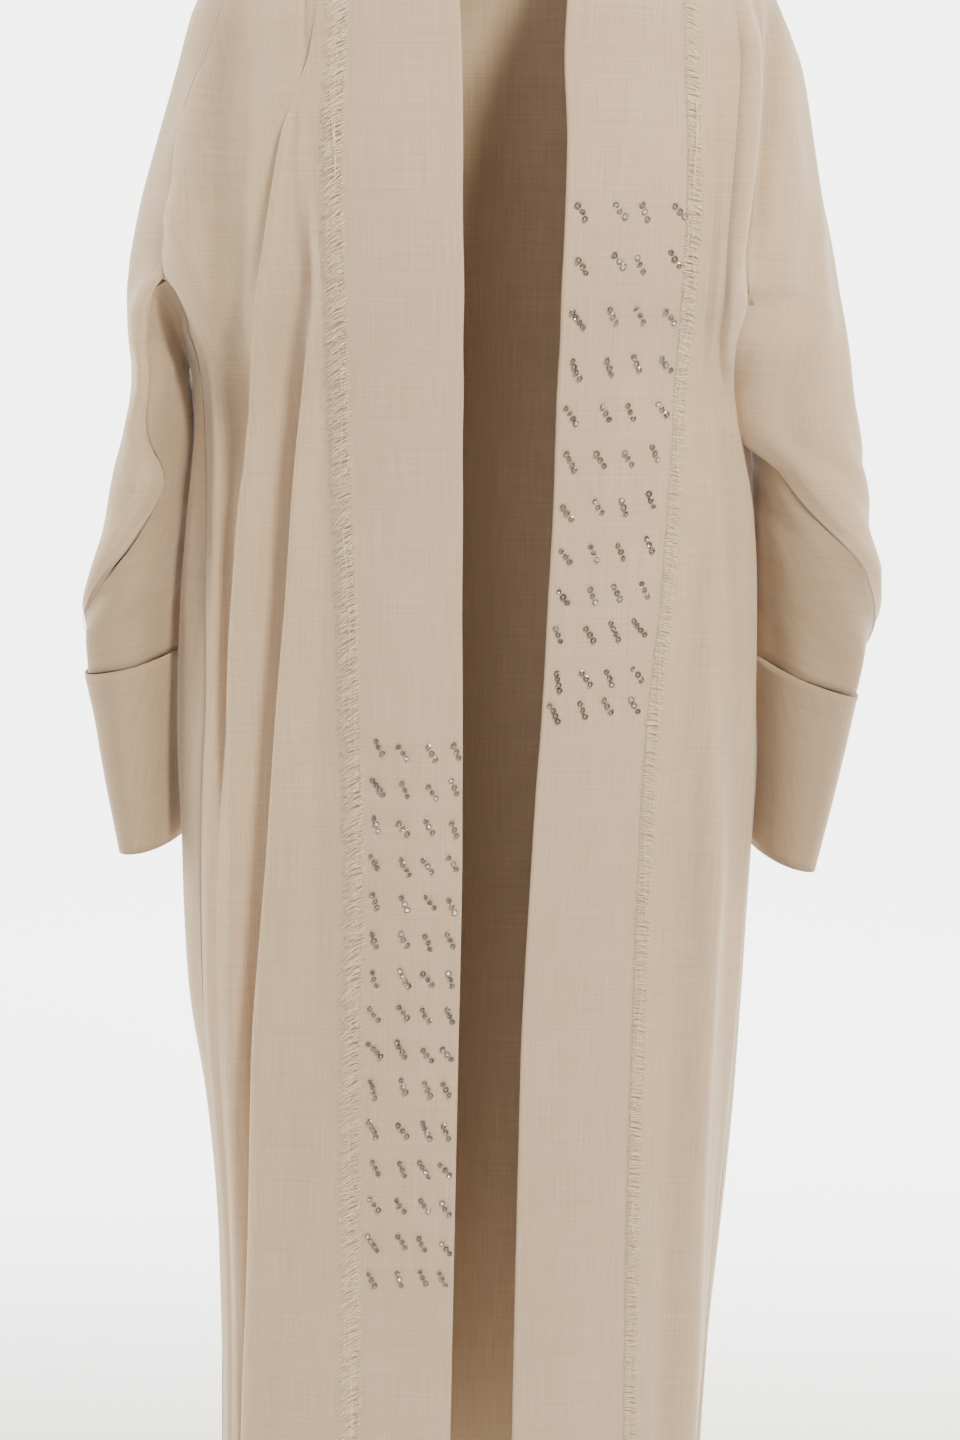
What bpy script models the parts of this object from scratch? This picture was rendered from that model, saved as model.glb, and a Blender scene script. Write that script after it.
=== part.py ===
"""An open-front abaya cloak, hollow, in the form it has when it is worn.

Metres, +Z up, the front towards -Y and the wearer's left towards +X. The
origin lies between the two neck points of the shoulders, where the wearer
holds the cloak up. Each piece that a maker cuts is one thin wall of its own:
two fronts and a back that run out into the sleeves, two cuffs, and along each
front a border band with a frayed edge.

A panel is a grid of points. Its rows are level sections of the cloak, given
by the short tables below, and its columns follow the folds and the seams.
"""
import math

import bmesh
import bpy
import numpy as np

MM = 0.001
LENGTH = 1.450
CLOTH = 0.0018
BAND_CLOTH = 0.0015
SEAM_GAP = 0.0005
LAYER_GAP = 0.0004
LAP = CLOTH + LAYER_GAP

NECK_HALF_WIDTH = 0.062
BACK_NECK_DROP = 0.018
BACK_NECK_DEPTH = 0.050
SHOULDER_POINT_X = 0.190
SHOULDER_POINT_Z = -0.058
SHOULDER_CREASE = 0.26
SHOULDER_SLOPE_POWER = 1.6
SHOULDER_SPREAD_POWERS = (1.8, 1.0)
SHOULDER_TURNS = (0.0, 0.2, 0.4, 0.6, 0.8)

FORM_POWER = 2.7
SLEEVE_SQUARENESS = 0.88
COLUMN_SPLIT = 2
UNDERARM_Z = -287 * MM
ARCH_Z = -325 * MM
CROTCH_Z = -360 * MM
CUFF_SEAM_Z = -583 * MM
CUFF_HEM_Z = -731 * MM

BACK_COLUMNS = 12
BACK_WAVES = 3.5
BACK_WAVE_HEIGHT = 0.002
BACK_WAVE_GROWTH = 0.009
BACK_WAVE_GROWTH_POWER = 0.7
BACK_WAVE_LEAN = 0.35
SLEEVE_FRONT_STEPS = 7
SLEEVE_BEHIND_STEPS = 6
SLEEVE_RECESS_STEPS = 3
STRIP_STEPS = 2
EDGE_FLUTE = 0.001
ROLL_SHARES = (0.0, 1.0, 0.5)
BEHIND_ARM_TURN = math.radians(215)
BEHIND_ARM_SHARE = 0.25
CUFF_STEPS = 22

FRINGE_STRIP_WIDTH = 0.0045
FRINGE_PITCH = 0.0135
FRINGE_TIP_SHARE = 0.30
FRINGE_DROOP = 0.45
FRINGE_REACH = (0.82, 0.18)
FRINGE_SWING = (2.4, 0.9)
FRINGE_LIFT = 0.0030

SIDE_NAMES = {-1: "right", 1: "left"}

LINEN = (0.62, 0.54, 0.45)
LINEN_DEEP = (0.55, 0.46, 0.38)
LINEN_PALE = (0.70, 0.62, 0.50)
LINEN_ROUGHNESS = 0.85


def table(names, *rows):
    """Named columns of real sizes, written in millimetres, a row for each section."""
    return {name: np.array(column) * MM for name, column in zip(names.split(), zip(*rows))}


def turn_table(names, *rows):
    """As table, with the columns "under" and "over" in degrees round the sleeve."""
    columns = table(names, *rows)
    for name in ("under", "over"):
        columns[name] = np.radians(columns[name] / MM)
    return columns


DEPTHS = table(
    "z front back",
    (-130, 106, 94),
    (-180, 118, 102),
    (-235, 124, 105),
    (-287, 123, 104),
    (-360, 113, 98),
    (-440, 104, 93),
    (-520, 100, 94),
    (-600, 99, 99),
    (-720, 100, 106),
    (-860, 103, 109),
    (-1020, 106, 110),
    (-1220, 109, 112),
    (-1450, 113, 116),
)

FORM = {
    -1: table(
        "z wide side edge root tip",
        (-130, 231, 205, 23, 106, 121),
        (-180, 247, 222, 21, 107, 122),
        (-235, 263, 232, 20, 107, 120),
        (-287, 272, 239, 18, 104, 117),
        (-325, 244, 221, 18, 103, 115),
        (-360, 222, 214, 17, 102, 114),
        (-400, 221, 211, 17, 101, 112),
        (-440, 225, 210, 16, 99, 110),
        (-520, 232, 210, 15, 95, 107),
        (-600, 236, 209, 13, 92, 104),
        (-660, 237, 212, 12, 89, 100),
        (-720, 235, 214, 11, 87, 98),
        (-860, 228, 212, 11, 88, 99),
        (-940, 214, 206, 11, 88, 99),
        (-1020, 206, 203, 11, 87, 99),
        (-1220, 203, 200, 11, 84, 96),
        (-1450, 205, 202, 11, 85, 97),
    ),
    1: table(
        "z wide side edge root tip",
        (-130, 227, 191, 49, 134, 147),
        (-180, 238, 190, 52, 137, 150),
        (-235, 251, 189, 52, 138, 151),
        (-287, 262, 188, 51, 137, 149),
        (-325, 208, 180, 51, 136, 148),
        (-360, 192, 184, 50, 135, 147),
        (-400, 198, 192, 50, 135, 147),
        (-440, 204, 200, 50, 134, 147),
        (-520, 211, 208, 48, 131, 143),
        (-600, 215, 212, 46, 125, 137),
        (-660, 218, 215, 43, 123, 135),
        (-720, 217, 214, 41, 122, 134),
        (-860, 213, 210, 37, 122, 134),
        (-940, 210, 207, 37, 122, 134),
        (-1020, 206, 203, 37, 123, 135),
        (-1220, 197, 194, 38, 127, 139),
        (-1450, 199, 196, 39, 128, 140),
    ),
}

FOLD_NAMES = {-1: ("lap", "crest", "tuck", "floor", "shoulder_fold", "dip", "roll"),
              1: ("hollow", "ridge", "dip", "roll")}

FOLD_X = {
    -1: table(
        "z lap crest tuck floor shoulder_fold dip roll",
        (-130, 125, 129, 133, 137, 142, 172, 196),
        (-180, 126, 130, 134, 138, 145, 180, 212),
        (-235, 124, 129, 135, 142, 152, 187, 222),
        (-287, 120, 125, 133, 145, 160, 190, 229),
        (-325, 120, 126, 134, 148, 165, 190, 213),
        (-360, 121, 128, 136, 151, 168, 190, 206),
        (-440, 122, 135, 143, 158, 176, 192, 202),
        (-520, 122, 140, 148, 163, 181, 194, 202),
        (-600, 123, 146, 154, 169, 186, 195, 202),
        (-720, 126, 154, 162, 174, 188, 198, 207),
        (-860, 130, 163, 171, 180, 190, 198, 206),
        (-1020, 132, 166, 174, 181, 188, 193, 198),
        (-1220, 133, 170, 178, 183, 187, 191, 195),
        (-1450, 134, 171, 179, 184, 188, 192, 197),
    ),
    1: table(
        "z hollow ridge dip roll",
        (-130, 156, 166, 176, 184),
        (-180, 158, 166, 174, 182),
        (-235, 158, 165, 171, 178),
        (-287, 156, 163, 169, 175),
        (-325, 156, 163, 169, 175),
        (-360, 157, 166, 174, 180),
        (-440, 160, 173, 186, 197),
        (-520, 158, 174, 190, 205),
        (-600, 155, 174, 194, 209),
        (-720, 157, 180, 198, 211),
        (-860, 158, 182, 197, 207),
        (-1020, 158, 182, 194, 200),
        (-1220, 160, 183, 188, 191),
        (-1450, 161, 184, 189, 193),
    ),
}

FOLD_LIFT = {
    -1: table(
        "z lap crest tuck floor shoulder_fold dip roll side",
        (-130, 0, 0, 0, -1, 4, -4, 0, -2),
        (-235, 0, 1, -1, -2, 8, -6, 2, -3),
        (-287, 1, 6, -6, -5, 8, -6, 4, -1),
        (-360, 1, 10, -10, -6, 8, -6, 7, 0),
        (-520, 1, 12, -11, -6, 7, -4, 4, 0),
        (-720, 1, 12, -12, -6, 4, -2, 3, 0),
        (-1020, 1, 13, -12, -5, 1, -1, 2, 0),
        (-1450, 2, 14, -13, -6, 1, -1, 1, 0),
    ),
    1: table(
        "z hollow ridge dip roll side",
        (-130, -1, 1, 0, 5, -8),
        (-235, -2, 2, 1, 8, -11),
        (-287, -2, 2, 1, 9, -9),
        (-360, -2, 2, 0, 6, 0),
        (-520, -3, 4, -1, 4, 0),
        (-720, -3, 6, -3, 3, 0),
        (-1020, -3, 7, -3, 1, 0),
        (-1450, -4, 8, -3, 1, 0),
    ),
}

SLEEVE = {
    -1: table(
        "z outer inner front back lean",
        (-325, 270, 236, -64, 54, 0),
        (-360, 268, 231, -61, 60, 0),
        (-400, 272, 227, -57, 66, 120),
        (-440, 281, 228, -54, 70, 180),
        (-480, 290, 231, -52, 73, 200),
        (-520, 300, 234, -49, 75, 220),
        (-552, 308, 236, -46, 75, 220),
        (-583, 306, 238, -43, 74, 220),
        (-620, 299, 239, -40, 73, 220),
        (-660, 293, 239, -38, 72, 220),
        (-731, 280, 237, -36, 71, 220),
    ),
    1: table(
        "z outer inner front back lean",
        (-325, 270, 205, -62, 56, 0),
        (-360, 277, 202, -60, 61, 0),
        (-400, 284, 205, -57, 66, 100),
        (-440, 290, 208, -54, 70, 170),
        (-480, 297, 210, -52, 73, 200),
        (-520, 301, 213, -49, 75, 220),
        (-552, 300, 215, -46, 75, 220),
        (-583, 292, 217, -43, 74, 220),
        (-620, 286, 218, -40, 73, 220),
        (-660, 279, 220, -38, 72, 220),
        (-731, 265, 219, -36, 71, 220),
    ),
}

SEAM_TURNS = {
    -1: turn_table(
        "z under over roll",
        (-325, -4, 98, 3),
        (-360, 2, 106, 7),
        (-400, -6, 116, 6),
        (-440, -50, 128, 7),
        (-480, -20, 150, 6),
        (-520, 25, 185, 5),
        (-552, 72, 216, 3),
        (-583, 95, 240, 1),
    ),
    1: turn_table(
        "z under over roll",
        (-325, -46, 94, 1),
        (-360, -60, 100, 2),
        (-400, -66, 112, 4),
        (-440, -32, 130, 6),
        (-480, 16, 155, 6),
        (-520, 50, 188, 5),
        (-552, 84, 218, 3),
        (-583, 98, 240, 1),
    ),
}
CUFF_SEAM_TILT = {-1: 0.20, 1: 0.32}
CUFF_HEM_TILT = {-1: 0.08, 1: 0.20}

BODY_LEVELS = np.array((-130, -180, -235, -287, -325, -360, -400, -440, -480, -520, -560, -610,
                        -660, -720, -790, -860, -940, -1020, -1120, -1220, -1330, -1450)) * MM
SLEEVE_LEVELS = np.array((-360, -400, -440, -480, -500, -520, -536, -552, -583)) * MM
CUFF_LEVELS = np.array((-583, -620, -660, -700, -731)) * MM
UNDERARM_ROW = len(SHOULDER_TURNS) + int(np.argmin(abs(BODY_LEVELS - UNDERARM_Z)))
CROTCH_ROW = len(SHOULDER_TURNS) + int(np.argmin(abs(BODY_LEVELS - CROTCH_Z)))


def at(columns, name, z):
    """Reads a table's column at a height, on a smooth curve through its rows."""
    heights, values = columns["z"][::-1], columns[name][::-1]
    slopes = np.gradient(values, heights)
    z = float(np.clip(z, heights[0], heights[-1]))
    low = min(int(np.searchsorted(heights, z, side="right")) - 1, len(heights) - 2)
    step = heights[low + 1] - heights[low]
    t = (z - heights[low]) / step
    rise = values[low + 1] - values[low]
    bend = slopes[low] * step - rise, -slopes[low + 1] * step + rise
    return values[low] + t * rise + t * (1 - t) * ((1 - t) * bend[0] + t * bend[1])


def form_angle(side, x, z):
    """The angle on the level section at which the form is x metres from its middle."""
    share = min(x / at(FORM[side], "wide", z), 1.0)
    return math.asin(share ** (FORM_POWER / 2))


def form_point(side, angle, z):
    """A point of the level section: angle 0 is the front's middle and pi the back's."""
    depth = at(DEPTHS, "front" if angle < math.pi / 2 else "back", z)
    x = at(FORM[side], "wide", z) * abs(math.sin(angle)) ** (2 / FORM_POWER)
    return np.array((side * x, -depth * math.cos(angle), z))


def sleeve_point(side, angle, z, lift=0.0):
    """A point round the sleeve: angle 0 is its front and a quarter turn its outer side."""
    outer, inner = at(SLEEVE[side], "outer", z), at(SLEEVE[side], "inner", z)
    front, back = at(SLEEVE[side], "front", z), at(SLEEVE[side], "back", z)
    across = math.copysign(abs(math.sin(angle)) ** SLEEVE_SQUARENESS, math.sin(angle))
    along = math.copysign(abs(math.cos(angle)) ** SLEEVE_SQUARENESS, math.cos(angle))
    deep, lean = (back - front) / 2, at(SLEEVE[side], "lean", z)
    half = math.sqrt(((outer - inner) / 2) ** 2 - (lean * deep) ** 2)
    behind = -(deep + lift * abs(along)) * along
    x = (outer + inner) / 2 + (half + lift * abs(across)) * across - lean * behind
    return np.array((side * x, (front + back) / 2 + behind, z))


def smooth_between(stations, split=COLUMN_SPLIT):
    """Adds points between the stations of a row, on a smooth curve through them."""
    stations = np.asarray(stations, float)
    padded = np.vstack((2 * stations[0] - stations[1], stations, 2 * stations[-1] - stations[-2]))
    points = []
    for a, b, c, d in zip(padded, padded[1:], padded[2:], padded[3:]):
        for t in np.arange(split) / split:
            points.append(b + 0.5 * t * ((c - a) + t * ((2 * a - 5 * b + 4 * c - d)
                                                        + t * (3 * (b - c) + d - a))))
    return np.array(points + [stations[-1]])


def front_row(side, z):
    """The stations of a front from the opening's edge to the side seam, at one level."""
    form, folds = FORM[side], FOLD_X[side]
    edge, root, tip = (at(form, name, z) for name in ("edge", "root", "tip"))
    flat = [(edge, 0), ((edge + root) / 2, EDGE_FLUTE), (root, 0), (tip, 0)]
    folded = [(at(folds, name, z), at(FOLD_LIFT[side], name, z)) for name in FOLD_NAMES[side]]
    seam = (at(form, "side", z), at(FOLD_LIFT[side], "side", z))
    stations = []
    for x, lift in flat + folded + [seam]:
        point = form_point(side, form_angle(side, x, z), z)
        stations.append(point + np.array((0, -lift, 0)))
    return smooth_between(stations)


def upper_sleeve_row(side, z, facing, start):
    """From the underarm column out to the seam along the top of the arm, above the underarm."""
    inner = form_angle(side, at(FORM[side], "side", z), z)
    steps = SLEEVE_FRONT_STEPS if facing < 0 else SLEEVE_BEHIND_STEPS
    angles = np.linspace(inner, math.pi / 2, steps + 1)
    if facing > 0:
        angles = math.pi - angles
    row = np.array([form_point(side, angle, z) for angle in angles])
    fade = np.linspace(1, 0, len(row))[:, None] ** 2
    return row + (start - row[0]) * fade


def seam_angles(side, z):
    """Where the underarm seam and the seam over the arm lie round the sleeve."""
    return at(SEAM_TURNS[side], "under", z), at(SEAM_TURNS[side], "over", z)


def tilted(side, row, z):
    """Tilts a sleeve's section in step with its slanting cuff seam."""
    middle = side * (at(SLEEVE[side], "outer", z) + at(SLEEVE[side], "inner", z)) / 2
    reach = np.clip((CROTCH_Z - z) / (CROTCH_Z - CUFF_SEAM_Z), 0, 1) ** 2
    past = np.clip((CUFF_SEAM_Z - z) / (CUFF_SEAM_Z - CUFF_HEM_Z), 0, 1)
    slope = reach * (CUFF_SEAM_TILT[side] * (1 - past) + CUFF_HEM_TILT[side] * past)
    row = np.array(row)
    row[:, 2] -= slope * side * (row[:, 0] - middle)
    return row


def sleeve_front_row(side, z):
    """The front piece round the sleeve, from the underarm seam to the seam over the arm."""
    under, over = seam_angles(side, z)
    roll = at(SEAM_TURNS[side], "roll", z)
    lifts = [roll * share for share in ROLL_SHARES]
    lifts += [0.0] * (SLEEVE_FRONT_STEPS + 1 - len(ROLL_SHARES))
    angles = np.linspace(under, over, SLEEVE_FRONT_STEPS + 1)
    row = [sleeve_point(side, angle, z, lift) for angle, lift in zip(angles, lifts)]
    return tilted(side, row, z)


def sleeve_behind_row(side, z):
    """The back piece round the sleeve, from its inner side out to the seam over the arm."""
    over = seam_angles(side, z)[1]
    angles = np.linspace(3 * math.pi / 2, over, SLEEVE_BEHIND_STEPS + 1)
    return tilted(side, [sleeve_point(side, angle, z) for angle in angles], z)


def sleeve_recess_row(side, z):
    """The back piece where it shows from the front, from its inner side to the underarm seam."""
    under = seam_angles(side, z)[0]
    shares = np.linspace(0, 1, SLEEVE_RECESS_STEPS + 1)
    row = [sleeve_point(side, -math.pi / 2 + (under + math.pi / 2) * share, z, -LAP * share)
           for share in shares]
    return tilted(side, row, z)


def strip_row(side, z):
    """The back piece beyond the side seam, from that seam to the side of the body."""
    start = form_angle(side, at(FORM[side], "side", z), z)
    row = []
    for share in np.linspace(0, 1, STRIP_STEPS + 1):
        point = form_point(side, start + (math.pi / 2 - start) * share, z)
        row.append(point + np.array((-side * 0.5 * LAP, LAP, 0)) * (1 - share))
    return np.array(row)


def back_row(side, z):
    """The back from its middle out to the side of the body or to the underarm column."""
    end = math.pi / 2
    if z > CROTCH_Z + SEAM_GAP:
        end = math.pi - form_angle(side, underarm_x(side, z), z)
    row = []
    for share in np.linspace(0, 1, BACK_COLUMNS + 1):
        angle = math.pi + (end - math.pi) * share
        point = form_point(side, angle, z)
        swell = back_wave(side, share, z)
        point[1] += swell * abs(math.cos(angle))
        point[0] += side * swell * math.sin(angle) ** 2
        row.append(point)
    return np.array(row)


def back_wave(side, share, z):
    """The back's soft folds, deeper towards the hem and gone at its middle and sides."""
    fall = np.clip((UNDERARM_Z - z) / (LENGTH + UNDERARM_Z), 0, 1)
    height = BACK_WAVE_HEIGHT + BACK_WAVE_GROWTH * fall ** BACK_WAVE_GROWTH_POWER
    lean = BACK_WAVE_LEAN * side * fall
    return height * math.sin(math.pi * share) * math.sin(math.pi * BACK_WAVES * share + lean)


def underarm_x(side, z):
    """How far out the back's underarm column lies."""
    drop = np.clip((UNDERARM_Z - z) / (UNDERARM_Z - CROTCH_Z), 0, 1)
    return at(FORM[side], "side", max(z, UNDERARM_Z)) * (1 - drop) + at(FORM[side], "wide", CROTCH_Z) * drop


def shoulder_row(level_row, share, side, facing):
    """Lifts the first level section over the shoulder; share 0 is the ridge, 1 the section."""
    turn = math.sin(share * math.pi / 2)
    drop = (1 - SHOULDER_CREASE) * (1 - math.cos(share * math.pi / 2)) + SHOULDER_CREASE * share
    outer = abs(level_row[-1][0])
    inner = abs(level_row[0][0])
    top_inner = NECK_HALF_WIDTH if facing < 0 else 0.0
    power_inner, power_outer = SHOULDER_SPREAD_POWERS
    row = []
    for x, y, z in level_row:
        across = (abs(x) - inner) / (outer - inner)
        top_x = top_inner + (SHOULDER_POINT_X - top_inner) * across
        rest = (1 - share) ** (power_inner + (power_outer - power_inner) * across)
        new_x = abs(x) + (top_x - abs(x)) * rest
        slope = np.clip((top_x - NECK_HALF_WIDTH) / (SHOULDER_POINT_X - NECK_HALF_WIDTH), 0, 1)
        ridge = SHOULDER_POINT_Z * slope ** SHOULDER_SLOPE_POWER
        neck = math.sqrt(max(1 - (top_x / NECK_HALF_WIDTH) ** 2, 0)) if facing > 0 else 0
        ridge -= BACK_NECK_DROP * neck ** 2
        top_y = BACK_NECK_DEPTH * neck
        row.append((side * new_x, top_y + (y - top_y) * turn, ridge + (z - ridge) * drop))
    return np.array(row)


def with_shoulders(rows, side, facing):
    """Adds the rows over the shoulder above a panel's level rows."""
    tops = [shoulder_row(rows[0], share, side, facing) for share in SHOULDER_TURNS]
    return np.array(tops + list(rows))


def front_grids(side):
    """A front's body and its half of the sleeve, which share the column above the underarm."""
    body, sleeve = [], []
    for z in BODY_LEVELS:
        row = front_row(side, z)
        if z >= UNDERARM_Z:
            whole = upper_sleeve_row(side, z, -1, row[-1])
            sleeve.append(whole)
            row[-1] = whole[0]
        body.append(row)
    full = [np.vstack((b, s[1:])) for b, s in zip(body, sleeve)]
    tops = [shoulder_row(full[0], share, side, -1) for share in SHOULDER_TURNS]
    width = len(body[0])
    body = [top[:width] for top in tops] + body
    sleeve = [top[width - 1:] for top in tops] + sleeve
    sleeve += [sleeve_front_row(side, z) for z in (ARCH_Z, *SLEEVE_LEVELS)]
    return np.array(body), np.array(sleeve)


def crotch_points(side):
    """The ends of the short web between the body and the sleeve."""
    return form_point(side, math.pi / 2, CROTCH_Z), sleeve_point(side, -math.pi / 2, CROTCH_Z)


def back_grids(side, fronts):
    """Half a back: above the crotch, the recess in front, then its body and sleeve below."""
    body_front, sleeve_front = fronts
    by_body, by_sleeve = crotch_points(side)
    levels = [z for z in BODY_LEVELS if z >= CROTCH_Z]
    upper = []
    for z in levels:
        row = back_row(side, z)
        if z >= UNDERARM_Z:
            out = upper_sleeve_row(side, z, 1, row[-1])
        else:
            out = sleeve_behind_row(side, z)
        if z == ARCH_Z:
            over = seam_angles(side, z)[1]
            angles = np.linspace(BEHIND_ARM_TURN, over, SLEEVE_BEHIND_STEPS + 1)
            out = np.array([sleeve_point(side, angle, z) for angle in angles])
        out[0] = row[-1] + (out[1] - row[-1]) * BEHIND_ARM_SHARE
        if z == levels[-1]:
            row[-1], out[0] = by_body, by_sleeve
        upper.append(np.vstack((row, out)))
    upper = with_shoulders(upper, side, 1)

    underarm = body_front[UNDERARM_ROW][-1]
    seam_side, seam_under = body_front[UNDERARM_ROW + 1][-1], sleeve_front[UNDERARM_ROW + 1][0]
    tucked = np.array((0, LAP, 0))
    strip = np.linspace(seam_side + tucked, (underarm + by_body) / 2, STRIP_STEPS + 1)
    inner = np.linspace((underarm + by_sleeve) / 2, seam_under + tucked, SLEEVE_RECESS_STEPS + 1)
    last_strip, last_inner = strip_row(side, CROTCH_Z), sleeve_recess_row(side, CROTCH_Z)
    last_strip[-1], last_inner[0] = by_body, by_sleeve
    point_row = np.repeat(underarm[None] + tucked, STRIP_STEPS + SLEEVE_RECESS_STEPS + 2, axis=0)
    recess = np.array((point_row, np.vstack((strip, inner)), np.vstack((last_strip, last_inner))))

    body = [np.vstack((upper[-1][:BACK_COLUMNS + 1], last_strip[::-1][1:]))]
    for z in BODY_LEVELS[BODY_LEVELS < CROTCH_Z]:
        body.append(np.vstack((back_row(side, z), strip_row(side, z)[::-1][1:])))
    sleeve = [np.vstack((last_inner[::-1], upper[-1][BACK_COLUMNS + 2:]))]
    for z in SLEEVE_LEVELS[1:]:
        sleeve.append(np.vstack((sleeve_recess_row(side, z)[::-1], sleeve_behind_row(side, z)[1:])))
    return upper, recess, np.array(body), np.array(sleeve)


def drawn_in(edge, neighbour, gap=SEAM_GAP / 2):
    """Draws a seam's points back into their own panel."""
    way = neighbour - edge
    length = np.linalg.norm(way, axis=-1, keepdims=True)
    return edge + way / np.maximum(length, 1e-9) * np.minimum(gap, length)


def parted(grid, facing):
    """Keeps a panel on its own side of the seam over the shoulder and the arm."""
    near = facing * grid[..., 1] < SEAM_GAP / 2
    grid[..., 1][near] = facing * SEAM_GAP / 2


def draw_in_fronts(body, sleeve):
    body[UNDERARM_ROW + 1:, -1] = drawn_in(body[UNDERARM_ROW + 1:, -1], body[UNDERARM_ROW + 1:, -2])
    sleeve[UNDERARM_ROW + 1:, 0] = drawn_in(sleeve[UNDERARM_ROW + 1:, 0], sleeve[UNDERARM_ROW + 1:, 1])
    below = slice(UNDERARM_ROW + 1, None)
    sleeve[below, -1] = drawn_in(sleeve[below, -1], sleeve[below, -2])
    parted(body[:UNDERARM_ROW + 1], -1)
    parted(sleeve[:UNDERARM_ROW + 1], -1)
    sleeve[-1] = drawn_in(sleeve[-1], sleeve[-2])


def draw_in_backs(upper, recess, body, sleeve):
    below = slice(UNDERARM_ROW + 1, None)
    upper[below, -1] = drawn_in(upper[below, -1], upper[below, -2])
    parted(upper[:UNDERARM_ROW + 1], 1)
    recess[0, :] = drawn_in(recess[0, STRIP_STEPS], recess[1, STRIP_STEPS], SEAM_GAP)
    recess[1:, 0] = drawn_in(recess[1:, 0], recess[1:, 1])
    recess[1:, -1] = drawn_in(recess[1:, -1], recess[1:, -2])
    body[1:, -1] = drawn_in(body[1:, -1], body[1:, -2])
    body[0, -1] = recess[-1, 0]
    sleeve[1:, 0] = drawn_in(sleeve[1:, 0], sleeve[1:, 1])
    sleeve[0, 0] = recess[-1, -1]
    sleeve[1:, -1] = drawn_in(sleeve[1:, -1], sleeve[1:, -2])
    sleeve[0, -1] = upper[-1, -1]
    sleeve[-1] = drawn_in(sleeve[-1], sleeve[-2])


def linen(name, colour):
    material = bpy.data.materials.new(name)
    material.use_nodes = True
    shader = material.node_tree.nodes["Principled BSDF"]
    shader.inputs["Base Color"].default_value = (*colour, 1.0)
    shader.inputs["Roughness"].default_value = LINEN_ROUGHNESS
    shader.inputs["Metallic"].default_value = 0.0
    return material


def add_grid(sheet, grid, flip=False, closed=False):
    """Adds a grid's points and triangles, each quad cut along the same diagonal."""
    rows, columns = grid.shape[:2]
    verts = [[sheet.verts.new(point) for point in row] for row in grid]
    for i in range(rows - 1):
        for j in range(columns if closed else columns - 1):
            k = (j + 1) % columns
            a, b, c, d = verts[i][j], verts[i][k], verts[i + 1][k], verts[i + 1][j]
            for corners in ((a, b, d), (b, c, d)):
                sheet.faces.new(corners[::-1] if flip else corners)


def linked(name, sheet, colour, collection):
    """Makes an object of a finished mesh and gives it its own material."""
    mesh = bpy.data.meshes.new(name)
    sheet.to_mesh(mesh)
    sheet.free()
    mesh.materials.append(linen(name + "_linen", colour))
    piece = bpy.data.objects.new(name, mesh)
    collection.objects.link(piece)
    return piece


def panel(name, grids, colour, collection, wall=CLOTH, closed=False):
    """Joins grids, given as (grid, flip), into one sheet and thickens it outwards."""
    sheet = bmesh.new()
    for grid, flip in grids:
        add_grid(sheet, grid, flip, closed)
    bmesh.ops.remove_doubles(sheet, verts=sheet.verts, dist=1e-6)
    bmesh.ops.dissolve_degenerate(sheet, dist=1e-7, edges=sheet.edges)
    piece = linked(name, sheet, colour, collection)
    piece.data.shade_smooth()
    thick = piece.modifiers.new("cloth", "SOLIDIFY")
    thick.thickness = wall
    thick.offset = 1.0
    thick.use_even_offset = False
    return piece


def grid_normals(grid, flip):
    """The outward direction at each point of a grid."""
    down = np.gradient(grid, axis=0)
    across = np.gradient(grid, axis=1)
    normals = np.cross(across, down)
    normals /= np.linalg.norm(normals, axis=-1, keepdims=True)
    return -normals if flip else normals


def raised(grid, flip, height):
    return grid + grid_normals(grid, flip) * height


def cuff(side, collection):
    """A sleeve's cuff, a band right round the wrist."""
    rows = []
    for z in CUFF_LEVELS:
        angles = np.linspace(0, 2 * math.pi, CUFF_STEPS, endpoint=False)
        rows.append(tilted(side, [sleeve_point(side, angle, z) for angle in angles], z))
    grid = np.array(rows)
    grid[0] = drawn_in(grid[0], grid[1], 1.5 * SEAM_GAP)
    return panel(SIDE_NAMES[side] + "_cuff", [(grid, side > 0)], LINEN_DEEP, collection, closed=True)


def band(side, body, collection):
    """The border band, on the front's own points from the opening's edge outwards."""
    width = 2 * COLUMN_SPLIT + 1
    grid = raised(body, side > 0, CLOTH + LAYER_GAP)[:, :width]
    grid[:, -1] = drawn_in(grid[:, -1], grid[:, -2])
    return panel(SIDE_NAMES[side] + "_band", [(grid, side > 0)], LINEN_PALE, collection, BAND_CLOTH)


def along(line, spot):
    """A point of a line of points, at a row number that may lie between two rows."""
    low = min(int(spot), len(line) - 2)
    return line[low] + (line[low + 1] - line[low]) * (spot - low)


def strand_spots(line):
    """Where the strands begin down a line of points, a whole number of them to each row."""
    spots = [0.0]
    for row, length in enumerate(np.linalg.norm(np.diff(line, axis=0), axis=1)):
        count = max(round(length / FRINGE_PITCH), 1)
        spots += [row + (number + 1) / count for number in range(count)]
    return spots


def strand_tip(lifted, spots, number, side):
    """The two end points of a strand, which slants down a little beside its root."""
    root, tip = 2 * COLUMN_SPLIT, 3 * COLUMN_SPLIT
    middle = np.interp(number + 0.5, range(len(spots)), spots)
    lower = np.interp(number + 0.5 + FRINGE_DROOP, range(len(spots)), spots)
    even, swing = FRINGE_REACH
    fast, slow = FRINGE_SWING
    reach = even + swing * math.sin(fast * number + side) * math.cos(slow * number)
    start, end = along(lifted[:, root], middle), along(lifted[:, tip], lower)
    half = (along(lifted[:, tip], spots[number + 1]) - along(lifted[:, tip], middle)) * FRINGE_TIP_SHARE
    centre = start + (end - start) * reach
    return centre - half, centre + half


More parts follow.
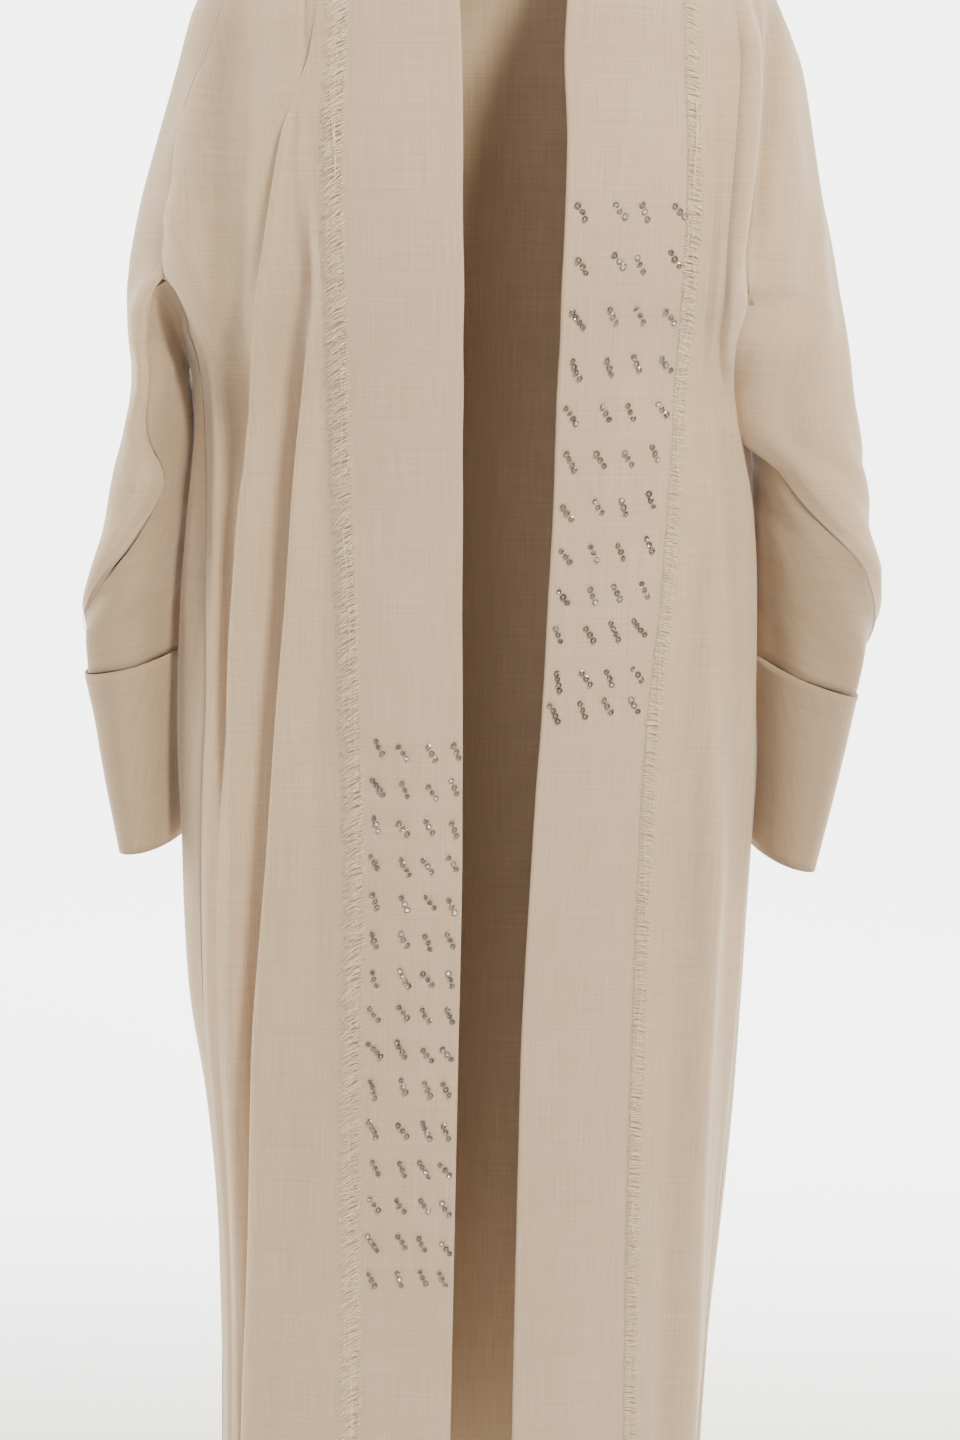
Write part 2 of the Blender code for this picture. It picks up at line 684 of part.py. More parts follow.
def strip_rail(layer, spots, offset):
    """A line of points on the fringe's strip, at a distance from the band."""
    points = []
    for spot in spots:
        start = along(layer[:, 2 * COLUMN_SPLIT], spot)
        end = along(layer[:, 3 * COLUMN_SPLIT], spot)
        points.append(start + (end - start) / np.linalg.norm(end - start) * offset)
    return points


def fringe(side, body, collection):
    """The frayed edge: a narrow strip beside the band, with strands fused to it."""
    low = raised(body, side > 0, CLOTH + 2 * LAYER_GAP)
    high = raised(body, side > 0, CLOTH + 2 * LAYER_GAP + BAND_CLOTH)
    lifted = raised(body, side > 0, CLOTH + FRINGE_LIFT)
    spots = strand_spots(low[:, 2 * COLUMN_SPLIT])
    sheet = bmesh.new()

    def placed(points):
        return [sheet.verts.new(point) for point in points]

    inner_low = placed(strip_rail(low, spots, SEAM_GAP / 2))
    inner_high = placed(strip_rail(high, spots, SEAM_GAP / 2))
    outer_low = placed(strip_rail(low, spots, FRINGE_STRIP_WIDTH))
    outer_high = placed(strip_rail(high, spots, FRINGE_STRIP_WIDTH))
    faces = [(inner_low[0], inner_high[0], outer_high[0], outer_low[0]),
             (inner_high[-1], inner_low[-1], outer_low[-1], outer_high[-1])]
    for i in range(len(spots) - 1):
        j = i + 1
        upper, lower = placed(strand_tip(lifted, spots, i, side))
        faces += [(inner_high[i], inner_high[j], outer_high[j], outer_high[i]),
                  (inner_low[j], inner_low[i], outer_low[i], outer_low[j]),
                  (inner_low[i], inner_low[j], inner_high[j], inner_high[i]),
                  (outer_high[i], outer_high[j], lower, upper),
                  (outer_low[j], outer_low[i], upper, lower),
                  (outer_low[i], outer_high[i], upper),
                  (outer_high[j], outer_low[j], lower)]
    for corners in faces:
        sheet.faces.new(corners)
    bmesh.ops.recalc_face_normals(sheet, faces=sheet.faces)
    return linked(SIDE_NAMES[side] + "_fringe", sheet, LINEN_PALE, collection)


def clear_scene():
    for thing in list(bpy.data.objects):
        bpy.data.objects.remove(thing, do_unlink=True)


def main():
    clear_scene()
    collection = bpy.data.collections.new("abaya_cloak")
    bpy.context.scene.collection.children.link(collection)
    back = []
    for side in (-1, 1):
        body, sleeve = front_grids(side)
        halves = back_grids(side, (body, sleeve))
        draw_in_fronts(body, sleeve)
        draw_in_backs(*halves)
        flip = side > 0
        panel(SIDE_NAMES[side] + "_front", [(body, flip), (sleeve, flip)], LINEN, collection)
        upper, recess, lower, arm = halves
        back += [(upper, not flip), (recess, flip), (lower, not flip), (arm, not flip)]
        band(side, body, collection)
        fringe(side, body, collection)
        cuff(side, collection)
    panel("back", back, LINEN_DEEP, collection)


main()
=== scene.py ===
"""The looks of an open-front abaya cloak of slubby linen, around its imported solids.

Metres, +Z up, the front towards -Y and the wearer's left towards +X. The tables
and the first functions are the ones that the solids are worked out from, so each
cloth here lies on its solid. The coarse grids are then refined on smooth curves,
and the smaller creases, the frayed threads, the stitches and the beads are added.
"""
import math

import bmesh
import bpy
import numpy as np
from mathutils import Matrix, Vector
from mathutils.bvhtree import BVHTree


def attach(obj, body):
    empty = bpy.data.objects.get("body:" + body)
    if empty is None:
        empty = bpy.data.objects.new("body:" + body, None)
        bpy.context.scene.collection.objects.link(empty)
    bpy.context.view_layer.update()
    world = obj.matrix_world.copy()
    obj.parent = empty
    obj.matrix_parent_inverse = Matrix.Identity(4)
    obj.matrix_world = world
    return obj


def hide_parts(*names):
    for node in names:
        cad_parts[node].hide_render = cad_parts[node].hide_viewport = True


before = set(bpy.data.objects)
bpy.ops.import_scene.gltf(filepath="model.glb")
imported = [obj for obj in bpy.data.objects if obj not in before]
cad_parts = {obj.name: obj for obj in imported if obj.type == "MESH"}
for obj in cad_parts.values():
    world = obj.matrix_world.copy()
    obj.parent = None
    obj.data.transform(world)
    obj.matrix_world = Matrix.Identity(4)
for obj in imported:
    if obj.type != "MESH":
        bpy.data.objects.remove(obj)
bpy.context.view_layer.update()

MM = 0.001
LENGTH = 1.450
CLOTH = 0.0018
BAND_CLOTH = 0.0015
SEAM_GAP = 0.0005
LAYER_GAP = 0.0004
LAP = CLOTH + LAYER_GAP

NECK_HALF_WIDTH = 0.062
BACK_NECK_DROP = 0.018
BACK_NECK_DEPTH = 0.050
SHOULDER_POINT_X = 0.190
SHOULDER_POINT_Z = -0.058
SHOULDER_CREASE = 0.26
SHOULDER_SLOPE_POWER = 1.6
SHOULDER_SPREAD_POWERS = (1.8, 1.0)
SHOULDER_TURNS = (0.0, 0.2, 0.4, 0.6, 0.8)

FORM_POWER = 2.7
SLEEVE_SQUARENESS = 0.88
COLUMN_SPLIT = 2
UNDERARM_Z = -287 * MM
ARCH_Z = -325 * MM
CROTCH_Z = -360 * MM
CUFF_SEAM_Z = -583 * MM
CUFF_HEM_Z = -731 * MM

BACK_COLUMNS = 12
BACK_WAVES = 3.5
BACK_WAVE_HEIGHT = 0.002
BACK_WAVE_GROWTH = 0.009
BACK_WAVE_GROWTH_POWER = 0.7
BACK_WAVE_LEAN = 0.35
SLEEVE_FRONT_STEPS = 7
SLEEVE_BEHIND_STEPS = 6
SLEEVE_RECESS_STEPS = 3
STRIP_STEPS = 2
EDGE_FLUTE = 0.001
ROLL_SHARES = (0.0, 1.0, 0.5)
BEHIND_ARM_TURN = math.radians(215)
BEHIND_ARM_SHARE = 0.25
CUFF_ROWS = 22
CUFF_ROUND = 96

SIDE_NAMES = {-1: "right", 1: "left"}



def table(names, *rows):
    """Named columns of real sizes, written in millimetres, a row for each section."""
    return {name: np.array(column) * MM for name, column in zip(names.split(), zip(*rows))}


def turn_table(names, *rows):
    """As table, with the columns "under" and "over" in degrees round the sleeve."""
    columns = table(names, *rows)
    for name in ("under", "over"):
        columns[name] = np.radians(columns[name] / MM)
    return columns


DEPTHS = table(
    "z front back",
    (-130, 106, 94),
    (-180, 118, 102),
    (-235, 124, 105),
    (-287, 123, 104),
    (-360, 113, 98),
    (-440, 104, 93),
    (-520, 100, 94),
    (-600, 99, 99),
    (-720, 100, 106),
    (-860, 103, 109),
    (-1020, 106, 110),
    (-1220, 109, 112),
    (-1450, 113, 116),
)

FORM = {
    -1: table(
        "z wide side edge root tip",
        (-130, 231, 205, 23, 106, 121),
        (-180, 247, 222, 21, 107, 122),
        (-235, 263, 232, 20, 107, 120),
        (-287, 272, 239, 18, 104, 117),
        (-325, 244, 221, 18, 103, 115),
        (-360, 222, 214, 17, 102, 114),
        (-400, 221, 211, 17, 101, 112),
        (-440, 225, 210, 16, 99, 110),
        (-520, 232, 210, 15, 95, 107),
        (-600, 236, 209, 13, 92, 104),
        (-660, 237, 212, 12, 89, 100),
        (-720, 235, 214, 11, 87, 98),
        (-860, 228, 212, 11, 88, 99),
        (-940, 214, 206, 11, 88, 99),
        (-1020, 206, 203, 11, 87, 99),
        (-1220, 203, 200, 11, 84, 96),
        (-1450, 205, 202, 11, 85, 97),
    ),
    1: table(
        "z wide side edge root tip",
        (-130, 227, 191, 49, 134, 147),
        (-180, 238, 190, 52, 137, 150),
        (-235, 251, 189, 52, 138, 151),
        (-287, 262, 188, 51, 137, 149),
        (-325, 208, 180, 51, 136, 148),
        (-360, 192, 184, 50, 135, 147),
        (-400, 198, 192, 50, 135, 147),
        (-440, 204, 200, 50, 134, 147),
        (-520, 211, 208, 48, 131, 143),
        (-600, 215, 212, 46, 125, 137),
        (-660, 218, 215, 43, 123, 135),
        (-720, 217, 214, 41, 122, 134),
        (-860, 213, 210, 37, 122, 134),
        (-940, 210, 207, 37, 122, 134),
        (-1020, 206, 203, 37, 123, 135),
        (-1220, 197, 194, 38, 127, 139),
        (-1450, 199, 196, 39, 128, 140),
    ),
}

FOLD_NAMES = {-1: ("lap", "crest", "tuck", "floor", "shoulder_fold", "dip", "roll"),
              1: ("hollow", "ridge", "dip", "roll")}

FOLD_X = {
    -1: table(
        "z lap crest tuck floor shoulder_fold dip roll",
        (-130, 125, 129, 133, 137, 142, 172, 196),
        (-180, 126, 130, 134, 138, 145, 180, 212),
        (-235, 124, 129, 135, 142, 152, 187, 222),
        (-287, 120, 125, 133, 145, 160, 190, 229),
        (-325, 120, 126, 134, 148, 165, 190, 213),
        (-360, 121, 128, 136, 151, 168, 190, 206),
        (-440, 122, 135, 143, 158, 176, 192, 202),
        (-520, 122, 140, 148, 163, 181, 194, 202),
        (-600, 123, 146, 154, 169, 186, 195, 202),
        (-720, 126, 154, 162, 174, 188, 198, 207),
        (-860, 130, 163, 171, 180, 190, 198, 206),
        (-1020, 132, 166, 174, 181, 188, 193, 198),
        (-1220, 133, 170, 178, 183, 187, 191, 195),
        (-1450, 134, 171, 179, 184, 188, 192, 197),
    ),
    1: table(
        "z hollow ridge dip roll",
        (-130, 156, 166, 176, 184),
        (-180, 158, 166, 174, 182),
        (-235, 158, 165, 171, 178),
        (-287, 156, 163, 169, 175),
        (-325, 156, 163, 169, 175),
        (-360, 157, 166, 174, 180),
        (-440, 160, 173, 186, 197),
        (-520, 158, 174, 190, 205),
        (-600, 155, 174, 194, 209),
        (-720, 157, 180, 198, 211),
        (-860, 158, 182, 197, 207),
        (-1020, 158, 182, 194, 200),
        (-1220, 160, 183, 188, 191),
        (-1450, 161, 184, 189, 193),
    ),
}

FOLD_LIFT = {
    -1: table(
        "z lap crest tuck floor shoulder_fold dip roll side",
        (-130, 0, 0, 0, -1, 4, -4, 0, -2),
        (-235, 0, 1, -1, -2, 8, -6, 2, -3),
        (-287, 1, 6, -6, -5, 8, -6, 4, -1),
        (-360, 1, 10, -10, -6, 8, -6, 7, 0),
        (-520, 1, 12, -11, -6, 7, -4, 4, 0),
        (-720, 1, 12, -12, -6, 4, -2, 3, 0),
        (-1020, 1, 13, -12, -5, 1, -1, 2, 0),
        (-1450, 2, 14, -13, -6, 1, -1, 1, 0),
    ),
    1: table(
        "z hollow ridge dip roll side",
        (-130, -1, 1, 0, 5, -8),
        (-235, -2, 2, 1, 8, -11),
        (-287, -2, 2, 1, 9, -9),
        (-360, -2, 2, 0, 6, 0),
        (-520, -3, 4, -1, 4, 0),
        (-720, -3, 6, -3, 3, 0),
        (-1020, -3, 7, -3, 1, 0),
        (-1450, -4, 8, -3, 1, 0),
    ),
}

SLEEVE = {
    -1: table(
        "z outer inner front back lean",
        (-325, 270, 236, -64, 54, 0),
        (-360, 268, 231, -61, 60, 0),
        (-400, 272, 227, -57, 66, 120),
        (-440, 281, 228, -54, 70, 180),
        (-480, 290, 231, -52, 73, 200),
        (-520, 300, 234, -49, 75, 220),
        (-552, 308, 236, -46, 75, 220),
        (-583, 306, 238, -43, 74, 220),
        (-620, 299, 239, -40, 73, 220),
        (-660, 293, 239, -38, 72, 220),
        (-731, 280, 237, -36, 71, 220),
    ),
    1: table(
        "z outer inner front back lean",
        (-325, 270, 205, -62, 56, 0),
        (-360, 277, 202, -60, 61, 0),
        (-400, 284, 205, -57, 66, 100),
        (-440, 290, 208, -54, 70, 170),
        (-480, 297, 210, -52, 73, 200),
        (-520, 301, 213, -49, 75, 220),
        (-552, 300, 215, -46, 75, 220),
        (-583, 292, 217, -43, 74, 220),
        (-620, 286, 218, -40, 73, 220),
        (-660, 279, 220, -38, 72, 220),
        (-731, 265, 219, -36, 71, 220),
    ),
}

SEAM_TURNS = {
    -1: turn_table(
        "z under over roll",
        (-325, -4, 98, 3),
        (-360, 2, 106, 7),
        (-400, -6, 116, 6),
        (-440, -50, 128, 7),
        (-480, -20, 150, 6),
        (-520, 25, 185, 5),
        (-552, 72, 216, 3),
        (-583, 95, 240, 1),
    ),
    1: turn_table(
        "z under over roll",
        (-325, -46, 94, 1),
        (-360, -60, 100, 2),
        (-400, -66, 112, 4),
        (-440, -32, 130, 6),
        (-480, 16, 155, 6),
        (-520, 50, 188, 5),
        (-552, 84, 218, 3),
        (-583, 98, 240, 1),
    ),
}
CUFF_SEAM_TILT = {-1: 0.20, 1: 0.32}
CUFF_HEM_TILT = {-1: 0.08, 1: 0.20}

BODY_LEVELS = np.array((-130, -180, -235, -287, -325, -360, -400, -440, -480, -520, -560, -610,
                        -660, -720, -790, -860, -940, -1020, -1120, -1220, -1330, -1450)) * MM
SLEEVE_LEVELS = np.array((-360, -400, -440, -480, -500, -520, -536, -552, -583)) * MM
UNDERARM_ROW = len(SHOULDER_TURNS) + int(np.argmin(abs(BODY_LEVELS - UNDERARM_Z)))


def at(columns, name, z):
    """Reads a table's column at a height, on a smooth curve through its rows."""
    heights, values = columns["z"][::-1], columns[name][::-1]
    slopes = np.gradient(values, heights)
    z = float(np.clip(z, heights[0], heights[-1]))
    low = min(int(np.searchsorted(heights, z, side="right")) - 1, len(heights) - 2)
    step = heights[low + 1] - heights[low]
    t = (z - heights[low]) / step
    rise = values[low + 1] - values[low]
    bend = slopes[low] * step - rise, -slopes[low + 1] * step + rise
    return values[low] + t * rise + t * (1 - t) * ((1 - t) * bend[0] + t * bend[1])


def form_angle(side, x, z):
    """The angle on the level section at which the form is x metres from its middle."""
    share = min(x / at(FORM[side], "wide", z), 1.0)
    return math.asin(share ** (FORM_POWER / 2))


def form_point(side, angle, z):
    """A point of the level section: angle 0 is the front's middle and pi the back's."""
    depth = at(DEPTHS, "front" if angle < math.pi / 2 else "back", z)
    x = at(FORM[side], "wide", z) * abs(math.sin(angle)) ** (2 / FORM_POWER)
    return np.array((side * x, -depth * math.cos(angle), z))


def sleeve_point(side, angle, z, lift=0.0):
    """A point round the sleeve: angle 0 is its front and a quarter turn its outer side."""
    outer, inner = at(SLEEVE[side], "outer", z), at(SLEEVE[side], "inner", z)
    front, back = at(SLEEVE[side], "front", z), at(SLEEVE[side], "back", z)
    across = math.copysign(abs(math.sin(angle)) ** SLEEVE_SQUARENESS, math.sin(angle))
    along = math.copysign(abs(math.cos(angle)) ** SLEEVE_SQUARENESS, math.cos(angle))
    deep, lean = (back - front) / 2, at(SLEEVE[side], "lean", z)
    half = math.sqrt(((outer - inner) / 2) ** 2 - (lean * deep) ** 2)
    behind = -(deep + lift * abs(along)) * along
    x = (outer + inner) / 2 + (half + lift * abs(across)) * across - lean * behind
    return np.array((side * x, (front + back) / 2 + behind, z))


def front_row(side, z):
    """The stations of a front from the opening's edge to the side seam, at one level."""
    form, folds = FORM[side], FOLD_X[side]
    edge, root, tip = (at(form, name, z) for name in ("edge", "root", "tip"))
    flat = [(edge, 0), ((edge + root) / 2, EDGE_FLUTE), (root, 0), (tip, 0)]
    folded = [(at(folds, name, z), at(FOLD_LIFT[side], name, z)) for name in FOLD_NAMES[side]]
    seam = (at(form, "side", z), at(FOLD_LIFT[side], "side", z))
    stations = []
    for x, lift in flat + folded + [seam]:
        point = form_point(side, form_angle(side, x, z), z)
        stations.append(point + np.array((0, -lift, 0)))
    return spread(np.array(stations), [COLUMN_SPLIT] * (len(stations) - 1))


def upper_sleeve_row(side, z, facing, start):
    """From the underarm column out to the seam along the top of the arm, above the underarm."""
    inner = form_angle(side, at(FORM[side], "side", z), z)
    steps = SLEEVE_FRONT_STEPS if facing < 0 else SLEEVE_BEHIND_STEPS
    angles = np.linspace(inner, math.pi / 2, steps + 1)
    if facing > 0:
        angles = math.pi - angles
    row = np.array([form_point(side, angle, z) for angle in angles])
    fade = np.linspace(1, 0, len(row))[:, None] ** 2
    return row + (start - row[0]) * fade


def seam_angles(side, z):
    """Where the underarm seam and the seam over the arm lie round the sleeve."""
    return at(SEAM_TURNS[side], "under", z), at(SEAM_TURNS[side], "over", z)


def tilted(side, row, z):
    """Tilts a sleeve's section in step with its slanting cuff seam."""
    middle = side * (at(SLEEVE[side], "outer", z) + at(SLEEVE[side], "inner", z)) / 2
    reach = np.clip((CROTCH_Z - z) / (CROTCH_Z - CUFF_SEAM_Z), 0, 1) ** 2
    past = np.clip((CUFF_SEAM_Z - z) / (CUFF_SEAM_Z - CUFF_HEM_Z), 0, 1)
    slope = reach * (CUFF_SEAM_TILT[side] * (1 - past) + CUFF_HEM_TILT[side] * past)
    row = np.array(row)
    row[:, 2] -= slope * side * (row[:, 0] - middle)
    return row


def sleeve_front_row(side, z):
    """The front piece round the sleeve, from the underarm seam to the seam over the arm."""
    under, over = seam_angles(side, z)
    roll = at(SEAM_TURNS[side], "roll", z)
    lifts = [roll * share for share in ROLL_SHARES]
    lifts += [0.0] * (SLEEVE_FRONT_STEPS + 1 - len(ROLL_SHARES))
    angles = np.linspace(under, over, SLEEVE_FRONT_STEPS + 1)
    row = [sleeve_point(side, angle, z, lift) for angle, lift in zip(angles, lifts)]
    return tilted(side, row, z)


def sleeve_behind_row(side, z):
    """The back piece round the sleeve, from its inner side out to the seam over the arm."""
    over = seam_angles(side, z)[1]
    angles = np.linspace(3 * math.pi / 2, over, SLEEVE_BEHIND_STEPS + 1)
    return tilted(side, [sleeve_point(side, angle, z) for angle in angles], z)


def sleeve_recess_row(side, z):
    """The back piece where it shows from the front, from its inner side to the underarm seam."""
    under = seam_angles(side, z)[0]
    shares = np.linspace(0, 1, SLEEVE_RECESS_STEPS + 1)
    row = [sleeve_point(side, -math.pi / 2 + (under + math.pi / 2) * share, z, -LAP * share)
           for share in shares]
    return tilted(side, row, z)


def strip_row(side, z):
    """The back piece beyond the side seam, from that seam to the side of the body."""
    start = form_angle(side, at(FORM[side], "side", z), z)
    row = []
    for share in np.linspace(0, 1, STRIP_STEPS + 1):
        point = form_point(side, start + (math.pi / 2 - start) * share, z)
        row.append(point + np.array((-side * 0.5 * LAP, LAP, 0)) * (1 - share))
    return np.array(row)


def back_row(side, z):
    """The back from its middle out to the side of the body or to the underarm column."""
    end = math.pi / 2
    if z > CROTCH_Z + SEAM_GAP:
        end = math.pi - form_angle(side, underarm_x(side, z), z)
    row = []
    for share in np.linspace(0, 1, BACK_COLUMNS + 1):
        angle = math.pi + (end - math.pi) * share
        point = form_point(side, angle, z)
        swell = back_wave(side, share, z)
        point[1] += swell * abs(math.cos(angle))
        point[0] += side * swell * math.sin(angle) ** 2
        row.append(point)
    return np.array(row)


def back_wave(side, share, z):
    """The back's soft folds, deeper towards the hem and gone at its middle and sides."""
    fall = np.clip((UNDERARM_Z - z) / (LENGTH + UNDERARM_Z), 0, 1)
    height = BACK_WAVE_HEIGHT + BACK_WAVE_GROWTH * fall ** BACK_WAVE_GROWTH_POWER
    lean = BACK_WAVE_LEAN * side * fall
    return height * math.sin(math.pi * share) * math.sin(math.pi * BACK_WAVES * share + lean)


def underarm_x(side, z):
    """How far out the back's underarm column lies."""
    drop = np.clip((UNDERARM_Z - z) / (UNDERARM_Z - CROTCH_Z), 0, 1)
    return at(FORM[side], "side", max(z, UNDERARM_Z)) * (1 - drop) + at(FORM[side], "wide", CROTCH_Z) * drop


def shoulder_row(level_row, share, side, facing):
    """Lifts the first level section over the shoulder; share 0 is the ridge, 1 the section."""
    turn = math.sin(share * math.pi / 2)
    drop = (1 - SHOULDER_CREASE) * (1 - math.cos(share * math.pi / 2)) + SHOULDER_CREASE * share
    outer = abs(level_row[-1][0])
    inner = abs(level_row[0][0])
    top_inner = NECK_HALF_WIDTH if facing < 0 else 0.0
    power_inner, power_outer = SHOULDER_SPREAD_POWERS
    row = []
    for x, y, z in level_row:
        across = (abs(x) - inner) / (outer - inner)
        top_x = top_inner + (SHOULDER_POINT_X - top_inner) * across
        rest = (1 - share) ** (power_inner + (power_outer - power_inner) * across)
        new_x = abs(x) + (top_x - abs(x)) * rest
        slope = np.clip((top_x - NECK_HALF_WIDTH) / (SHOULDER_POINT_X - NECK_HALF_WIDTH), 0, 1)
        ridge = SHOULDER_POINT_Z * slope ** SHOULDER_SLOPE_POWER
        neck = math.sqrt(max(1 - (top_x / NECK_HALF_WIDTH) ** 2, 0)) if facing > 0 else 0
        ridge -= BACK_NECK_DROP * neck ** 2
        top_y = BACK_NECK_DEPTH * neck
        row.append((side * new_x, top_y + (y - top_y) * turn, ridge + (z - ridge) * drop))
    return np.array(row)


def with_shoulders(rows, side, facing):
    """Adds the rows over the shoulder above a panel's level rows."""
    tops = [shoulder_row(rows[0], share, side, facing) for share in SHOULDER_TURNS]
    return np.array(tops + list(rows))


def front_grids(side):
    """A front's body and its half of the sleeve, which share the column above the underarm."""
    body, sleeve = [], []
    for z in BODY_LEVELS:
        row = front_row(side, z)
        if z >= UNDERARM_Z:
            whole = upper_sleeve_row(side, z, -1, row[-1])
            sleeve.append(whole)
            row[-1] = whole[0]
        body.append(row)
    full = [np.vstack((b, s[1:])) for b, s in zip(body, sleeve)]
    tops = [shoulder_row(full[0], share, side, -1) for share in SHOULDER_TURNS]
    width = len(body[0])
    body = [top[:width] for top in tops] + body
    sleeve = [top[width - 1:] for top in tops] + sleeve
    sleeve += [sleeve_front_row(side, z) for z in (ARCH_Z, *SLEEVE_LEVELS)]
    return np.array(body), np.array(sleeve)


def crotch_points(side):
    """The ends of the short web between the body and the sleeve."""
    return form_point(side, math.pi / 2, CROTCH_Z), sleeve_point(side, -math.pi / 2, CROTCH_Z)


def back_grids(side, fronts):
    """Half a back: above the crotch, the recess in front, then its body and sleeve below."""
    body_front, sleeve_front = fronts
    by_body, by_sleeve = crotch_points(side)
    levels = [z for z in BODY_LEVELS if z >= CROTCH_Z]
    upper = []
    for z in levels:
        row = back_row(side, z)
        if z >= UNDERARM_Z:
            out = upper_sleeve_row(side, z, 1, row[-1])
        else:
            out = sleeve_behind_row(side, z)
        if z == ARCH_Z:
            over = seam_angles(side, z)[1]
            angles = np.linspace(BEHIND_ARM_TURN, over, SLEEVE_BEHIND_STEPS + 1)
            out = np.array([sleeve_point(side, angle, z) for angle in angles])
        out[0] = row[-1] + (out[1] - row[-1]) * BEHIND_ARM_SHARE
        if z == levels[-1]:
            row[-1], out[0] = by_body, by_sleeve
        upper.append(np.vstack((row, out)))
    upper = with_shoulders(upper, side, 1)

    underarm = body_front[UNDERARM_ROW][-1]
    seam_side, seam_under = body_front[UNDERARM_ROW + 1][-1], sleeve_front[UNDERARM_ROW + 1][0]
    tucked = np.array((0, LAP, 0))
    strip = np.linspace(seam_side + tucked, (underarm + by_body) / 2, STRIP_STEPS + 1)
    inner = np.linspace((underarm + by_sleeve) / 2, seam_under + tucked, SLEEVE_RECESS_STEPS + 1)
    last_strip, last_inner = strip_row(side, CROTCH_Z), sleeve_recess_row(side, CROTCH_Z)
    last_strip[-1], last_inner[0] = by_body, by_sleeve
    point_row = np.repeat(underarm[None] + tucked, STRIP_STEPS + SLEEVE_RECESS_STEPS + 2, axis=0)
    recess = np.array((point_row, np.vstack((strip, inner)), np.vstack((last_strip, last_inner))))

    body = [np.vstack((upper[-1][:BACK_COLUMNS + 1], last_strip[::-1][1:]))]
    for z in BODY_LEVELS[BODY_LEVELS < CROTCH_Z]:
        body.append(np.vstack((back_row(side, z), strip_row(side, z)[::-1][1:])))
    sleeve = [np.vstack((last_inner[::-1], upper[-1][BACK_COLUMNS + 2:]))]
    for z in SLEEVE_LEVELS[1:]:
        sleeve.append(np.vstack((sleeve_recess_row(side, z)[::-1], sleeve_behind_row(side, z)[1:])))
    return upper, recess, np.array(body), np.array(sleeve)


def drawn_in(edge, neighbour, gap=SEAM_GAP / 2):
    """Draws a seam's points back into their own panel."""
    way = neighbour - edge
    length = np.linalg.norm(way, axis=-1, keepdims=True)
    return edge + way / np.maximum(length, 1e-9) * np.minimum(gap, length)


def parted(grid, facing):
    """Keeps a panel on its own side of the seam over the shoulder and the arm."""
    near = facing * grid[..., 1] < SEAM_GAP / 2
    grid[..., 1][near] = facing * SEAM_GAP / 2


def draw_in_fronts(body, sleeve):
    below = slice(UNDERARM_ROW + 1, None)
    body[below, -1] = drawn_in(body[below, -1], body[below, -2])
    sleeve[below, 0] = drawn_in(sleeve[below, 0], sleeve[below, 1])
    sleeve[below, -1] = drawn_in(sleeve[below, -1], sleeve[below, -2])
    parted(body[:UNDERARM_ROW + 1], -1)
    parted(sleeve[:UNDERARM_ROW + 1], -1)
    sleeve[-1] = drawn_in(sleeve[-1], sleeve[-2])


def draw_in_backs(upper, recess, body, sleeve):
    below = slice(UNDERARM_ROW + 1, None)
    upper[below, -1] = drawn_in(upper[below, -1], upper[below, -2])
    parted(upper[:UNDERARM_ROW + 1], 1)
    recess[0, :] = drawn_in(recess[0, STRIP_STEPS], recess[1, STRIP_STEPS], SEAM_GAP)
    recess[1:, 0] = drawn_in(recess[1:, 0], recess[1:, 1])
    recess[1:, -1] = drawn_in(recess[1:, -1], recess[1:, -2])
    body[1:, -1] = drawn_in(body[1:, -1], body[1:, -2])
    body[0, -1] = recess[-1, 0]
    sleeve[1:, 0] = drawn_in(sleeve[1:, 0], sleeve[1:, 1])
    sleeve[0, 0] = recess[-1, -1]
    sleeve[1:, -1] = drawn_in(sleeve[1:, -1], sleeve[1:, -2])
    sleeve[0, -1] = upper[-1, -1]
    sleeve[-1] = drawn_in(sleeve[-1], sleeve[-2])


def grid_normals(grid, flip):
    """The outward direction at each point of a grid."""
    down = np.gradient(grid, axis=0)
    across = np.gradient(grid, axis=1)
    normals = np.cross(across, down)
    normals /= np.linalg.norm(normals, axis=-1, keepdims=True)
    return -normals if flip else normals


def raised(grid, flip, height):
    return grid + grid_normals(grid, flip) * height


FINE_ROW = 0.0085
FINE_COLUMN = 0.0029
BACK_COLUMN = 0.0042
WELD = 0.0002
BAND_COLUMN = 2 * COLUMN_SPLIT
TIP_COLUMN = 3 * COLUMN_SPLIT
SEAM_SPLIT = 3
FOLD_SPLIT = 2
ARCH_SPLIT = 3
FOLD_COLUMNS = (slice(4 * COLUMN_SPLIT, 7 * COLUMN_SPLIT),
                slice(7 * COLUMN_SPLIT, 9 * COLUMN_SPLIT))
EDGE_ROLL = 0.0016
EDGE_ROLL_WIDTH = 0.0024
SEWN_IN = 0.0030
SEWN_WIDTH = 0.0013
SEWN_DEPTH_SHARE = 0.35
ARCH_BODY = 0.018
ARCH_SLEEVE = 0.015
ARCH_REACH = 0.022
SLEEVE_FREE_Z = -0.400
SLEEVE_FREE_OVER = (-0.012, 0.022)
TUCKED_IN = (-0.006, 0.006, 0.0)
TUCK_REACH = 0.038
CLOSING_WIDTH = 0.0015
CLOSING_REACH = 0.010
FRONT_FACING = (-0.012, 0.018)

THREAD_PITCH = 0.00064
THREAD_RADIUS = 0.00028
THREAD_POINTS = 6
BEAD_RING = 0.00170
BEAD_WALL = 0.00068
BEAD_STEP = 0.0052
BEAD_SLANT = math.radians(30)

